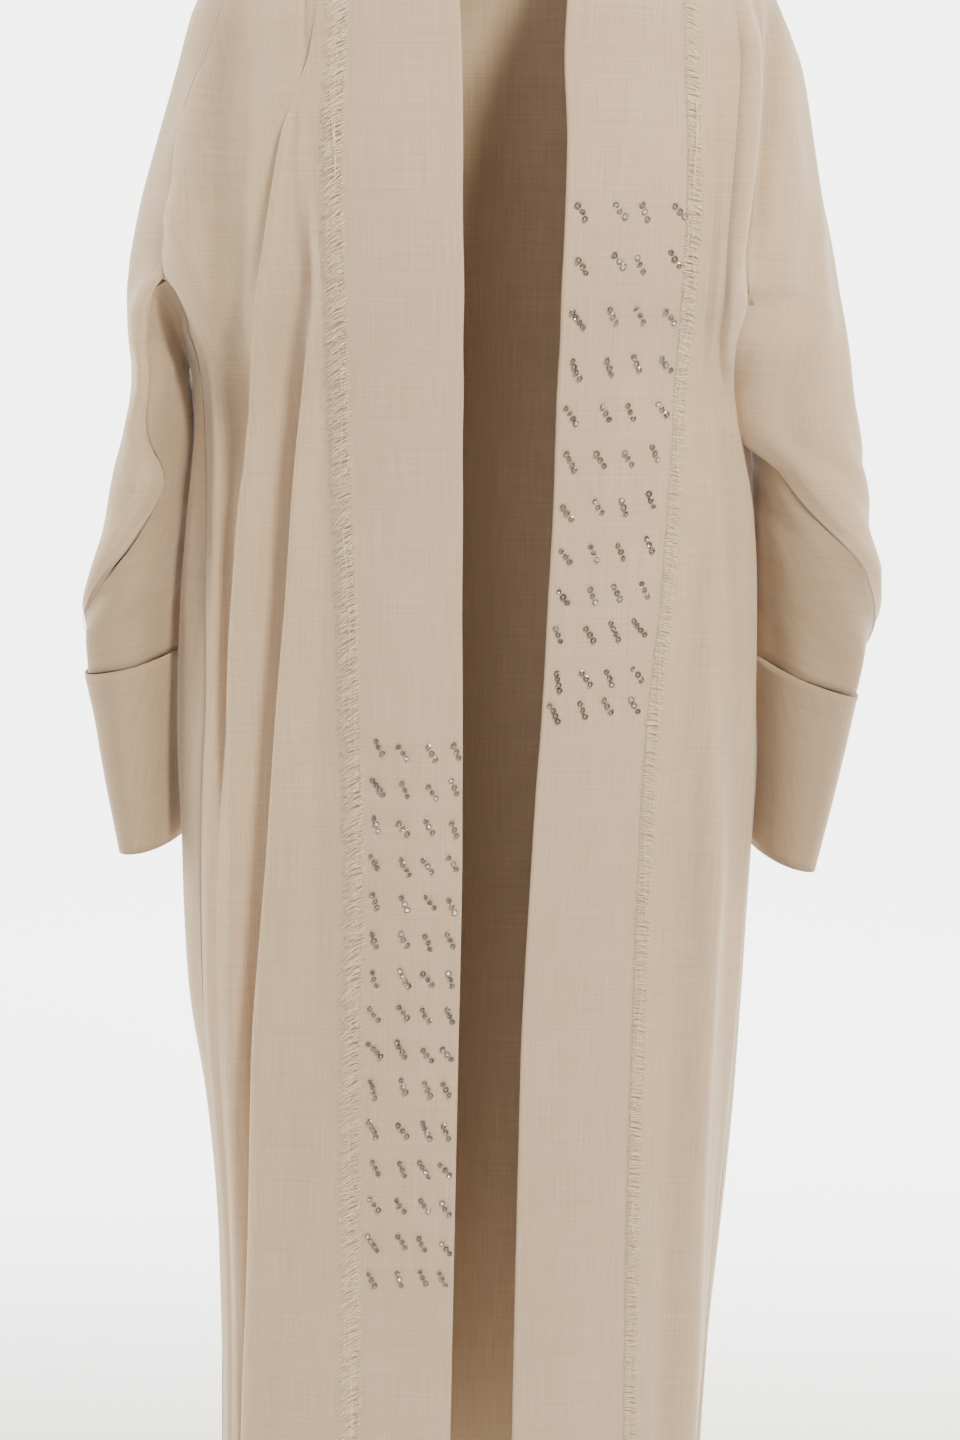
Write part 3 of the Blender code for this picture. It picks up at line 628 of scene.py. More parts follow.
FOLDS_OVER = (
    {
        "column": 8 * COLUMN_SPLIT, "over": (0.07, 0.20, 0.52, 0.74),
        "shift": 0.0038, "lift": 1.2, "width": 0.0045,
        "line": ((-122, -85), (-128, -130), (-142, -180), (-151, -235), (-160, -287), (-164, -325),
                 (-168, -360), (-176, -440), (-181, -520), (-187, -600), (-193, -720)),
    },
    {
        "column": 5 * COLUMN_SPLIT, "over": (0.25, 0.42, 1.60, 1.70),
        "shift": 0.0049, "lift": 0.25, "width": 0.0080,
        "line": (),
    },
)
FOLD_REACH = 0.011
SLIDE_REACH = 0.020
SLIDE_OVER = (0.02, 0.10, 0.52, 0.62)
ARMPIT = {
    -1: table(
        "z middle closing",
        (-335, 228, 0),
        (-358, 226.5, 3.0),
        (-380, 225, 2.3),
        (-400, 224, 1.3),
        (-440, 226.5, 0),
    ),
    1: table(
        "z middle closing",
        (-335, 198, 0),
        (-358, 197, 3.6),
        (-380, 199, 2.8),
        (-400, 201.5, 1.8),
        (-440, 206, 0),
    ),
}


def spread(points, counts, before=None, after=None):
    """Adds rows between the rows of an array, on smooth curves through them."""
    before = 2 * points[0] - points[1] if before is None else before
    after = 2 * points[-1] - points[-2] if after is None else after
    padded = np.concatenate((before[None], points, after[None]))
    rows = []
    for a, b, c, d, count in zip(padded, padded[1:], padded[2:], padded[3:], counts):
        for t in np.arange(count) / count:
            rows.append(b + 0.5 * t * ((c - a) + t * ((2 * a - 5 * b + 4 * c - d)
                                                      + t * (3 * (b - c) + d - a))))
    return np.array(rows + [points[-1]])


def spread_across(grid, counts, before=None, after=None):
    return spread(grid.swapaxes(0, 1), counts, before, after).swapaxes(0, 1)


def row_counts(*grids):
    """How many fine rows go into each coarse one, so that they lie evenly."""
    lengths = [np.linalg.norm(np.diff(grid, axis=0), axis=2).mean(axis=1) for grid in grids]
    return np.maximum(np.round(np.max(lengths, axis=0) / FINE_ROW), 1).astype(int)


def column_counts(grid, fine=FINE_COLUMN):
    lengths = np.linalg.norm(np.diff(grid, axis=1), axis=2).max(axis=0)
    return np.maximum(np.ceil(lengths / fine), 1).astype(int)


def fine_front(side):
    """A front's body and sleeve at full detail, and the column where the border band ends."""
    body, sleeve = front_grids(side)
    draw_in_fronts(body, sleeve)
    top = UNDERARM_ROW + 1
    shared = row_counts(body[:top])
    down = np.concatenate((shared, row_counts(body[UNDERARM_ROW:])))
    sleeve_down = np.concatenate((shared, row_counts(sleeve[UNDERARM_ROW:])))
    down[UNDERARM_ROW] *= ARCH_SPLIT
    sleeve_down[UNDERARM_ROW] *= ARCH_SPLIT
    across, sleeve_across = column_counts(body), column_counts(sleeve)
    across[-1] *= SEAM_SPLIT
    if side < 0:
        for columns in FOLD_COLUMNS:
            across[columns] *= FOLD_SPLIT
    sleeve_across[0] *= SEAM_SPLIT
    body, sleeve = spread(body, down), spread(sleeve, sleeve_down)
    top = shared.sum() + 1
    after = 2 * body[:, -1] - body[:, -2]
    after[:top] = sleeve[:top, 1]
    before = 2 * sleeve[:, 0] - sleeve[:, 1]
    before[:top] = body[:top, -2]
    body = spread_across(body, across, after=after)
    sleeve = spread_across(sleeve, sleeve_across, before=before)
    seam = (body[:top, -1] + sleeve[:top, 0]) / 2
    body[:top, -1] = sleeve[:top, 0] = seam
    if side < 0:
        for fold in FOLDS_OVER:
            column = across[:fold["column"]].sum()
            if fold["line"]:
                slid(body, column, fold["line"])
            fold_over(body, column, fold)
        round_arch(body[top:, ::-1], ARCH_BODY)
        round_arch(sleeve[top:], -ARCH_SLEEVE)
    else:
        tuck_behind(sleeve[top:], body[top:, -1])
    roll_edge(body[top:, ::-1], side > 0)
    roll_edge(sleeve[top:], side < 0)
    return body, sleeve, (across[:BAND_COLUMN].sum(), across[:TIP_COLUMN].sum())


def slid(body, column, line):
    """Slides the points of each row along the cloth, so that a column follows a line of (x, z)."""
    places, heights = np.array(line, float).T * MM
    for row in body:
        way = np.interp(-row[column, 2], -heights, places) - row[column, 0]
        way *= faded(-row[column, 2], *SLIDE_OVER)
        near = np.flatnonzero(abs(row[:, 0] - row[column, 0]) < 2 * SLIDE_REACH)
        out = np.maximum.accumulate(-row[near, 0])
        if abs(way) < 1e-5 or (np.diff(out) <= 0).any():
            continue
        moved = out - way * (1 - ((out + row[column, 0]) / (2 * SLIDE_REACH)) ** 2) ** 2
        row[near] = np.stack([np.interp(moved, out, row[near, axis]) for axis in range(3)], axis=1)


def fold_over(body, column, fold):
    """Draws a fold's crest out over its trough, so that its edge overhangs like the photograph's."""
    width = fold["width"]
    depth = fold["shift"] * faded(-body[:, column, 2], *fold["over"])
    apart = body[:, column:column + 1, 0] - body[..., 0]
    bend = np.cos(math.pi * np.clip(apart / width, 0, 1))
    bend *= np.exp(-(np.clip(-apart, 0, None) / FOLD_REACH) ** 2)
    bend *= np.exp(-(np.clip(apart - width, 0, None) / FOLD_REACH) ** 2)
    body[..., 0] -= bend * depth[:, None]
    body[..., 1] -= bend * depth[:, None] * fold["lift"]


def arch_widening(z):
    """Turns the arch's pointed top into a round one: 0 at its apex and at its foot."""
    t = np.clip((UNDERARM_Z - z) / (UNDERARM_Z - ARCH_Z), 0, 1)
    return np.sqrt(t * (2 - t)) - t


def round_arch(grid, width):
    """Moves the seam's edge, the first column, aside near the top of the right underarm's arch."""
    near = np.exp(-(lengths_across(grid) / ARCH_REACH) ** 2)
    grid[..., 0] += width * arch_widening(grid[..., 2]) * near


def tuck_behind(sleeve, edge):
    """Carries the left sleeve in behind the front's side fold, down to where it comes free."""
    z = sleeve[:, 0, 2]
    meets = np.stack([np.interp(-z, -edge[:, 2], edge[:, axis]) for axis in range(3)], axis=1)
    way = meets + np.array(TUCKED_IN) - sleeve[:, 0]
    way *= 1 - smooth_step(SLEEVE_FREE_Z - z, *SLEEVE_FREE_OVER)[:, None]
    near = np.exp(-(lengths_across(sleeve) / TUCK_REACH) ** 2)
    sleeve += way[:, None] * near[..., None]


def roll_edge(grid, flip):
    """Rolls a seam's edge outwards beside the sewn line; the seam is the first column."""
    apart = lengths_across(grid)
    rolled = EDGE_ROLL * np.exp(-(apart / EDGE_ROLL_WIDTH) ** 2)
    rolled -= SEWN_DEPTH_SHARE * EDGE_ROLL * np.exp(-((apart - SEWN_IN) / SEWN_WIDTH) ** 2)
    grid += grid_normals(grid, flip) * rolled[..., None]


def armpit_closed(grid, side):
    """Brings the body's side and the sleeve's inner side nearly together below the armpit."""
    drop = -grid[..., 2]
    line = ARMPIT[side]
    middle = np.interp(drop, -line["z"], line["middle"])
    closing = np.interp(drop, -line["z"], line["closing"])
    apart = middle - abs(grid[..., 0])
    pull = np.tanh(apart / CLOSING_WIDTH) * np.exp(-(apart / CLOSING_REACH) ** 2)
    grid[..., 0] += side * closing * pull


def back_columns(upper, lower, arm):
    """How many fine columns go into each coarse one of a back's grids, alike where they meet."""
    web = BACK_COLUMNS
    across = column_counts(upper, BACK_COLUMN)
    across[:web] = np.maximum(across[:web], column_counts(lower[:, :web + 1], BACK_COLUMN))
    arm_across = column_counts(arm, BACK_COLUMN)
    across[web + 1:] = np.maximum(across[web + 1:], arm_across[SLEEVE_RECESS_STEPS:])
    arm_across[SLEEVE_RECESS_STEPS:] = across[web + 1:]
    lower_across = np.concatenate((across[:web], column_counts(lower[:, web:], BACK_COLUMN)))
    recess_across = np.concatenate((lower_across[web:][::-1], across[web:web + 1],
                                    arm_across[:SLEEVE_RECESS_STEPS][::-1]))
    return across, recess_across, lower_across, arm_across


def join_backs(grids, counts):
    """Gives a back's fine grids the same points along the lines where they meet."""
    upper, recess, lower, arm = grids
    across, _, lower_across, arm_across = counts
    web = BACK_COLUMNS
    body_end, strip_end = across[:web].sum(), lower_across[web:].sum()
    inner_end = arm_across[:SLEEVE_RECESS_STEPS].sum()
    lower[0, :body_end + 1] = upper[-1, :body_end + 1]
    lower[0, body_end:] = recess[-1, :strip_end + 1][::-1]
    arm[0, inner_end:] = upper[-1, body_end + across[web]:]
    arm[0, :inner_end + 1] = recess[-1, -inner_end - 1:][::-1]
    over_web = slice(strip_end, strip_end + across[web] + 1)
    upper[-1, body_end:body_end + across[web] + 1] = recess[-1, over_web]


def fine_back(side):
    """Half a back's four grids at full detail."""
    upper, recess, lower, arm = back_grids(side, front_grids(side))
    draw_in_backs(upper, recess, lower, arm)
    counts = back_columns(upper, lower, arm)
    web = BACK_COLUMNS
    above_lower = np.vstack((upper[-2, :web + 1], recess[-2, :STRIP_STEPS][::-1]))
    above_arm = np.vstack((recess[-2, STRIP_STEPS + 1:][::-1], upper[-2, web + 2:]))
    below_upper = np.vstack((lower[1, :web + 1], arm[1, SLEEVE_RECESS_STEPS:]))
    upper = spread(upper, row_counts(upper), after=below_upper)
    recess = spread(recess, row_counts(recess))
    lower = spread(lower, row_counts(lower), before=above_lower)
    arm = spread(arm, row_counts(arm), before=above_arm)
    grids = [spread_across(grid, across) for grid, across in zip((upper, recess, lower, arm), counts)]
    join_backs(grids, counts)
    if side < 0:
        recess = grids[1]
        lengths = lengths_across(recess)
        share = lengths / np.maximum(lengths[:, -1:], 1e-6)
        recess[..., 0] += arch_widening(recess[..., 2]) * (ARCH_BODY * (1 - share) - ARCH_SLEEVE * share)
    for grid in grids:
        armpit_closed(grid, side)
    return grids


def lengths_across(grid):
    steps = np.linalg.norm(np.diff(grid, axis=1), axis=2)
    return np.hstack((np.zeros((len(grid), 1)), np.cumsum(steps, axis=1)))


def lengths_down(grid):
    steps = np.linalg.norm(np.diff(grid, axis=0), axis=2).mean(axis=1)
    return np.repeat(np.concatenate(([0], np.cumsum(steps)))[:, None], grid.shape[1], axis=1)


def linked(name, data):
    """A new object in the scene for a mesh, a light or a camera."""
    thing = bpy.data.objects.new(name, data)
    bpy.context.scene.collection.objects.link(thing)
    return thing


def cloth_mesh(name, grids, closed=False):
    """One welded mesh of several grids, each (points, flip, u start), with its cloth's own UV map."""
    points, faces, uvs, start = [], [], [], 0
    for grid, flip, u_start in grids:
        rows, columns = grid.shape[:2]
        index = np.arange(rows * columns).reshape(rows, columns) + start
        right = np.roll(index, -1, axis=1) if closed else index[:, 1:]
        left = index if closed else index[:, :-1]
        quads = np.stack((left[:-1], right[:-1], right[1:], left[1:]), axis=-1).reshape(-1, 4)
        faces.append(quads[:, ::-1] if flip else quads)
        points.append(grid.reshape(-1, 3))
        uvs.append(np.dstack((lengths_across(grid) + u_start, lengths_down(grid))).reshape(-1, 2))
        start += rows * columns
    points, faces, uvs = np.vstack(points), np.vstack(faces), np.vstack(uvs)
    mesh = bpy.data.meshes.new(name)
    mesh.from_pydata(points.tolist(), [], faces.tolist())
    layer = mesh.uv_layers.new(name="cloth")
    layer.data.foreach_set("uv", uvs[faces.ravel()].ravel())
    sheet = bmesh.new()
    sheet.from_mesh(mesh)
    bmesh.ops.remove_doubles(sheet, verts=sheet.verts, dist=WELD)
    bmesh.ops.dissolve_degenerate(sheet, dist=1e-6, edges=sheet.edges)
    sheet.to_mesh(mesh)
    sheet.free()
    mesh.shade_smooth()
    return linked(name, mesh)


def vertex_array(mesh, name="co"):
    values = np.empty(len(mesh.vertices) * 3)
    if name == "co":
        mesh.vertices.foreach_get("co", values)
    else:
        mesh.vertex_normals.foreach_get("vector", values)
    return values.reshape(-1, 3)


def moved_out(piece, amounts):
    """Moves a piece's vertices along their normals."""
    mesh = piece.data
    points = vertex_array(mesh) + vertex_array(mesh, "normal") * amounts[:, None]
    mesh.vertices.foreach_set("co", points.ravel())
    mesh.update()


def smooth_step(value, low, high):
    t = np.clip((value - low) / (high - low), 0, 1)
    return t * t * (3 - 2 * t)


def faded(value, begin, full, fade, gone):
    """1 from full to fade, and 0 before begin and past gone."""
    return smooth_step(value, begin, full) * (1 - smooth_step(value, fade, gone))


def facing_front(points):
    """1 on the half of a sleeve that looks to the front, and 0 behind."""
    return smooth_step(-points[:, 1], *FRONT_FACING)


CREASE_FADE = 0.22


def crease(points, line, width, height, sharp=1.0):
    """A ridge, or with a negative height a furrow, along a line of (x, z) in millimetres.

    Sharp below 1 makes the side towards +X steeper, above 1 the side towards -X.
    """
    line = np.array(line, float) * MM
    flat = points[:, (0, 2)]
    best = np.full(len(flat), np.inf)
    side = np.zeros(len(flat))
    along_line = np.zeros(len(flat))
    spans = np.linalg.norm(np.diff(line, axis=0), axis=1)
    begins = np.concatenate(([0], np.cumsum(spans)))
    for a, b, span, begin in zip(line, line[1:], spans, begins):
        way = (b - a) / span
        t = np.clip((flat - a) @ way, 0, span)
        apart = flat - (a + t[:, None] * way)
        distance = np.linalg.norm(apart, axis=1)
        near = distance < best
        best[near] = distance[near]
        side[near] = apart[near, 0]
        along_line[near] = begin + t[near]
    whole = begins[-1]
    fade = faded(along_line, 0, CREASE_FADE * whole, (1 - CREASE_FADE) * whole, whole)
    reach = width * MM * np.where(side > 0, sharp, 1 / sharp)
    return height * MM * np.exp(-(best / reach) ** 2) * fade


RIPPLE_COUNT = 9
RIPPLES_ACROSS = (5, 26)
RIPPLES_LEAN = (-2.2, 2.2)
RIPPLE_HEIGHT = 0.0005


def ripples(uv, seed):
    """Soft, uneven waves that hang down the cloth."""
    random = np.random.RandomState(seed)
    total = np.zeros(len(uv))
    for across, down in zip(random.uniform(*RIPPLES_ACROSS, RIPPLE_COUNT),
                            random.uniform(*RIPPLES_LEAN, RIPPLE_COUNT)):
        phase, weight = random.uniform(0, 2 * math.pi), random.uniform(0.4, 1.0)
        total += weight * np.sin(2 * math.pi * (uv[:, 0] * across + uv[:, 1] * down) + phase)
    return total * RIPPLE_HEIGHT


def vertex_uvs(mesh):
    """The cloth map's place of each vertex."""
    corners = np.empty(len(mesh.loops), int)
    mesh.loops.foreach_get("vertex_index", corners)
    values = np.empty(len(mesh.loops) * 2)
    mesh.uv_layers["cloth"].data.foreach_get("uv", values)
    places = np.zeros((len(mesh.vertices), 2))
    places[corners] = values.reshape(-1, 2)
    return places


def made_of(piece, wall, material):
    """Gives a sheet its cloth's thickness and material."""
    thick = piece.modifiers.new("cloth", "SOLIDIFY")
    thick.thickness = wall
    thick.offset = 1.0
    thick.use_even_offset = False
    piece.data.materials.append(material)


def node(tree, kind, **values):
    made = tree.nodes.new(kind)
    for name, value in values.items():
        setattr(made, name, value)
    return made


def slubs(tree, uv, across, down, detail=3.0):
    """Uneven threads: noise stretched along one direction of the cloth's own map."""
    mapping = node(tree, "ShaderNodeMapping")
    mapping.inputs["Scale"].default_value = (across, down, 1.0)
    noise = node(tree, "ShaderNodeTexNoise")
    noise.inputs["Scale"].default_value = 1.0
    noise.inputs["Detail"].default_value = detail
    noise.inputs["Roughness"].default_value = 0.6
    tree.links.new(uv, mapping.inputs["Vector"])
    tree.links.new(mapping.outputs["Vector"], noise.inputs["Vector"])
    return noise.outputs["Fac"]


def ramp(tree, value, low, high, dark, pale):
    made = node(tree, "ShaderNodeValToRGB")
    made.color_ramp.elements[0].position = low
    made.color_ramp.elements[1].position = high
    made.color_ramp.elements[0].color = (*dark, 1.0)
    made.color_ramp.elements[1].color = (*pale, 1.0)
    tree.links.new(value, made.inputs["Fac"])
    return made.outputs["Color"]


def set_painted_shade(piece, values):
    """Sets how much painted shade each vertex takes, from 0 to 1, in the attribute "deep" of the piece."""
    layer = piece.data.attributes.new("deep", "FLOAT", "POINT")
    layer.data.foreach_set("value", np.asarray(values, np.float32))


# Painted shade down the hollow between each front and its sleeve: its line, width, darkness and heights.
VALLEY_PAINTED_SHADE = {
    -1: {
        "line": ((-50, -190), (-180, -196), (-300, -195), (-400, -193), (-500, -196)),
        "width": 14, "most": 0.66, "over": (0.03, 0.08, 0.40, 0.56),
    },
    1: {
        "line": ((-50, 204), (-150, 199), (-230, 192), (-300, 184)),
        "width": 10, "most": 0.55, "over": (0.03, 0.07, 0.22, 0.30),
    },
}


def valley_painted_shade(points, side):
    """Painted shade along the long hollow between a front and its sleeve."""
    valley = VALLEY_PAINTED_SHADE[side]
    heights, places = np.array(valley["line"], float).T * MM
    drop = -points[:, 2]
    apart = points[:, 0] - np.interp(drop, -heights, places)
    near = np.exp(-(apart / (valley["width"] * MM)) ** 2)
    return valley["most"] * faded(drop, *valley["over"]) * near


# Painted shade on the back where it shows from the front below the sleeves: how dark on each side, and where
# it begins and ends.
UNDERSIDE_PAINTED_SHADE = {-1: 0.80, 1: 0.95}
UNDERSIDE_TOP = (0.286, 0.292)
RECESS_END = (0.350, 0.372)
SLEEVE_BEGINS = (-0.001, 0.004)


def underside_painted_shade(points):
    """How much painted shade the back takes: full in the recesses and on the forearms where they face the
    front, none on the strips.
    """
    side = np.where(points[:, 0] > 0, 1, -1)
    drop, deep = -points[:, 2], np.zeros(len(points))
    above = 1 - smooth_step(drop, *RECESS_END)
    for way, most in UNDERSIDE_PAINTED_SHADE.items():
        line = ARMPIT[way]
        middle = np.interp(drop, -line["z"], line["middle"])
        sleeve = smooth_step(abs(points[:, 0]) - middle, *SLEEVE_BEGINS)
        deep += most * (side == way) * facing_front(points) * np.maximum(sleeve, above)
    return deep * smooth_step(drop, *UNDERSIDE_TOP)


def mixed(tree, a, b, share, mode="MIX"):
    made = node(tree, "ShaderNodeMix", data_type="RGBA", blend_type=mode)
    made.inputs["Factor"].default_value = share
    tree.links.new(a, made.inputs["A"])
    tree.links.new(b, made.inputs["B"])
    return made.outputs["Result"]


# The darker colour that the painted shade multiplies in.
PAINTED_SHADE_COLOUR = (0.67, 0.655, 0.64, 1.0)


def new_material(name, **values):
    """A material, its node tree and its shader, with values set on the shader's own sockets."""
    material = bpy.data.materials.new(name)
    material.use_nodes = True
    shader = material.node_tree.nodes["Principled BSDF"]
    for socket, value in values.items():
        shader.inputs[socket.replace("_", " ")].default_value = value
    return material, material.node_tree, shader


def shades(colour, dark, pale):
    """A colour's darker and paler shade."""
    return tuple(c * dark for c in colour), tuple(min(c * pale, 1.0) for c in colour)


def painted_shade_multiplier(tree):
    """White, or the darker colour of the painted shade where the attribute "deep" of a piece says so."""
    shade = node(tree, "ShaderNodeMix", data_type="RGBA")
    shade.inputs["A"].default_value = (1.0, 1.0, 1.0, 1.0)
    shade.inputs["B"].default_value = PAINTED_SHADE_COLOUR
    deep = node(tree, "ShaderNodeAttribute", attribute_name="deep")
    tree.links.new(deep.outputs["Fac"], shade.inputs["Factor"])
    return shade.outputs["Result"]


def weave_relief(tree, uv):
    """The relief of fine threads both ways, as a normal."""
    fine = node(tree, "ShaderNodeMath", operation="ADD")
    tree.links.new(slubs(tree, uv, 2100, 60), fine.inputs[0])
    tree.links.new(slubs(tree, uv, 50, 2300), fine.inputs[1])
    bump = node(tree, "ShaderNodeBump")
    bump.inputs["Strength"].default_value = 0.35
    bump.inputs["Distance"].default_value = 0.0003
    tree.links.new(fine.outputs["Value"], bump.inputs["Height"])
    return bump.outputs["Normal"]


def linen(name, colour):
    """Slubby linen-like cloth: uneven threads both ways, a soft tone change, painted shade where a piece's
    attribute "deep" asks for it, and a weave's relief.
    """
    material, tree, shader = new_material(
        name, Roughness=0.82, Sheen_Weight=0.45, Sheen_Roughness=0.45,
        Sheen_Tint=(1.0, 0.93, 0.82, 1.0), Specular_IOR_Level=0.3)
    uv = node(tree, "ShaderNodeUVMap", uv_map="cloth").outputs["UV"]
    warp, weft = slubs(tree, uv, 800, 18), slubs(tree, uv, 12, 760)
    cloud = slubs(tree, uv, 7, 5, 2.0)
    dark, pale = shades(colour, 0.78, 1.13)
    down = ramp(tree, warp, 0.30, 0.70, dark, pale)
    over = ramp(tree, weft, 0.28, 0.74, dark, pale)
    tone = ramp(tree, cloud, 0.3, 0.7, (0.95, 0.945, 0.94), (1.0, 1.0, 1.0))
    cloth = mixed(tree, mixed(tree, down, over, 0.5), tone, 1.0, "MULTIPLY")
    # Multiplies in the painted shade that the attribute "deep" asks for.
    cloth = mixed(tree, cloth, painted_shade_multiplier(tree), 1.0, "MULTIPLY")
    tree.links.new(cloth, shader.inputs["Base Color"])
    tree.links.new(weave_relief(tree, uv), shader.inputs["Normal"])
    return material


CREASES = {
    "right_front": [
        ([(-204, -50), (-208, -120), (-211, -180), (-212, -250), (-210, -310)], 13, 6.0, 0.8),
        ([(-176, -60), (-179, -161), (-181, -230), (-183, -300), (-185, -386), (-186, -470)], 11, -5.0, 1.0),
        ([(-252, -232), (-238, -236), (-226, -250), (-220, -268), (-217, -290)], 8, 2.6, 1.4),
        ([(-229, -206), (-214, -228), (-207, -250), (-205, -272), (-206, -300)], 8, -2.4, 1.0),
        ([(-161, -428), (-169, -487), (-174, -547)], 4, 0.9, 1.0),
        ([(-206, -133), (-224, -182), (-239, -224)], 7, 1.6, 1.0),
        ([(-185, -746), (-187, -905), (-181, -1071), (-174, -1181), (-172, -1400)], 8, 2.0, 1.3),
        ([(-132, -824), (-134, -986), (-138, -1180), (-140, -1420)], 9, 1.4, 1.0),
        ([(-118, -160), (-128, -330), (-131, -520)], 8, -1.0, 1.0),
        ([(-262, -380), (-268, -420), (-280, -470)], 7, 1.5, 1.0),
        ([(-258, -330), (-263, -380), (-272, -440)], 5, -1.2, 1.0),
    ],
    "left_front": [
        ([(189, -60), (187, -139), (183, -191), (177, -249), (173, -300)], 8, 4.4, 0.7),
        ([(201, -60), (198, -150), (193, -200), (187, -255), (182, -310)], 9, -5.0, 1.0),
        ([(168, -480), (172, -585), (181, -730), (181, -996), (184, -1156), (184, -1420)], 9, 3.4, 0.8),
        ([(168, -392), (162, -436), (158, -487)], 4, 1.0, 1.0),
        ([(176, -414), (170, -479), (164, -554)], 4, 1.0, 1.0),
        ([(162, -584), (157, -676), (154, -738)], 5, 1.0, 1.0),
        ([(200, -124), (220, -186), (234, -242)], 8, 1.8, 1.0),
        ([(261, -380), (267, -389), (270, -408)], 4, 1.0, 1.0),
        ([(222, -330), (238, -380), (252, -430)], 8, 1.4, 1.0),
        ([(160, -800), (158, -1000), (160, -1300)], 9, -1.6, 1.0),
        ([(196, -640), (198, -800), (194, -1000)], 6, 1.2, 1.0),
    ],
    "back": [
        ([(-241, -500), (-262, -520), (-288, -548)], 7, 1.6, 1.0),
        ([(-246, -540), (-266, -552), (-290, -566)], 6, -1.4, 1.0),
        ([(240, -488), (263, -511), (282, -549)], 8, 1.2, 1.0),
        ([(-221, -365), (-228, -392), (-231, -406), (-235, -425), (-241, -445)], 5, 1.6, 1.0),
        ([(-120, -200), (-135, -420), (-150, -700)], 14, 2.4, 1.0),
        ([(118, -190), (132, -420), (148, -760)], 14, 2.2, 1.0),
        ([(-60, -700), (-72, -1000), (-78, -1400)], 16, 3.0, 1.0),
        ([(64, -640), (70, -1000), (82, -1400)], 16, 2.8, 1.0),
        ([(0, -500), (6, -900), (2, -1380)], 18, 2.2, 1.0),
    ],
}


def shaped(piece, keep_from, keep_to, seed):
    """Adds the small creases and ripples, none under the border band or at the seams."""
    mesh = piece.data
    points, uv = vertex_array(mesh), vertex_uvs(mesh)
    amounts = ripples(uv, seed)
    for line, width, height, sharp in CREASES[piece.name.replace("_cloth", "")]:
        amounts += crease(points, line, width, height, sharp)
    amounts *= smooth_step(uv[:, 0], keep_from, keep_to)
    edge = np.zeros(len(mesh.vertices), bool)
    sheet = bmesh.new()
    sheet.from_mesh(mesh)
    for index, vertex in enumerate(sheet.verts):
        edge[index] = vertex.is_boundary
    sheet.free()
    amounts[edge] *= 0.3
    moved_out(piece, amounts)


def softened(piece, centres, radius, turns):
    """Evens out a piece's mesh around some points, with its edges held."""
    sheet = bmesh.new()
    sheet.from_mesh(piece.data)
    near = [v for v in sheet.verts if not v.is_boundary
            and min((v.co - Vector(c)).length for c in centres) < radius]
    for _ in range(turns):
        bmesh.ops.smooth_vert(sheet, verts=near, factor=0.5,
                              use_axis_x=True, use_axis_y=True, use_axis_z=True)
    sheet.to_mesh(piece.data)
    sheet.free()


def front_piece(side, material):
    body, sleeve, (band_end, tip_end) = fine_front(side)
    flip = side > 0
    width = lengths_across(body)[0, -1]
    name = SIDE_NAMES[side] + "_front"
    piece = cloth_mesh(name + "_cloth", [(body, flip, 0.0), (sleeve, flip, width)])
    softened(piece, [body[underarm_row(body), -1]], 0.03, 4)
    tip = lengths_across(body)[:, tip_end].max()
    shaped(piece, tip, tip + 0.015, 11 + side)
    # Painted shade in the hollow beside the sleeve.
    set_painted_shade(piece, valley_painted_shade(vertex_array(piece.data), side))
    made_of(piece, CLOTH, material)
    return piece, body, sleeve, band_end


def underarm_row(body):
    """The fine row at the underarm."""
    return int(np.argmin(abs(body[:, 0, 2] - UNDERARM_Z)))


def back_piece(material):
    grids, webs = [], []
    for side in (-1, 1):
        flip = side > 0
        upper, recess, lower, arm = fine_back(side)
        width = lengths_across(lower)[0, -1]
        grids += [(upper, not flip, 0.0), (recess, flip, 0.0),
                  (lower, not flip, 0.0), (arm, not flip, width)]
        webs += list(crotch_points(side))
    piece = cloth_mesh("back_cloth", grids)
    softened(piece, webs, 0.045, 12)
    shaped(piece, -2.0, -1.0, 21)
    # Painted shade on the back's recesses and forearms.
    set_painted_shade(piece, underside_painted_shade(vertex_array(piece.data)))
    made_of(piece, CLOTH, material)
    return piece


# Painted shade on the half of each cuff that faces the front.
CUFF_PAINTED_SHADE = {-1: 0.72, 1: 0.90}


def cuff_piece(side, material):
    rows = []
    for z in np.linspace(CUFF_SEAM_Z, CUFF_HEM_Z, CUFF_ROWS):
        angles = np.linspace(0, 2 * math.pi, CUFF_ROUND, endpoint=False)
        rows.append(tilted(side, [sleeve_point(side, angle, z) for angle in angles], z))
    grid = np.array(rows)
    grid[0] = drawn_in(grid[0], grid[1], 1.5 * SEAM_GAP)
    piece = cloth_mesh(SIDE_NAMES[side] + "_cuff_cloth", [(grid, side > 0, 0.0)], closed=True)
    set_painted_shade(piece, facing_front(vertex_array(piece.data)) * CUFF_PAINTED_SHADE[side])
    made_of(piece, CLOTH, material)
    return piece


def band_piece(side, body, band_end, material):
    grid = raised(body, side > 0, CLOTH + LAYER_GAP)[:, :band_end + 1]
    piece = cloth_mesh(SIDE_NAMES[side] + "_band_cloth", [(grid, side > 0, 0.0)])
    made_of(piece, BAND_CLOTH, material)
    return piece, grid


def arcs(grid, root, reach, step=0.001):
    """Each row's points at even steps outwards from the root column."""
    count = int(reach / step) + 2
    rows = np.empty((len(grid), count, 3))
    lengths = lengths_across(grid[:, root:])
    for row, (points, length) in enumerate(zip(grid[:, root:], lengths)):
        for axis in range(3):
            rows[row, :, axis] = np.interp(np.arange(count) * step, length, points[:, axis])
    return rows


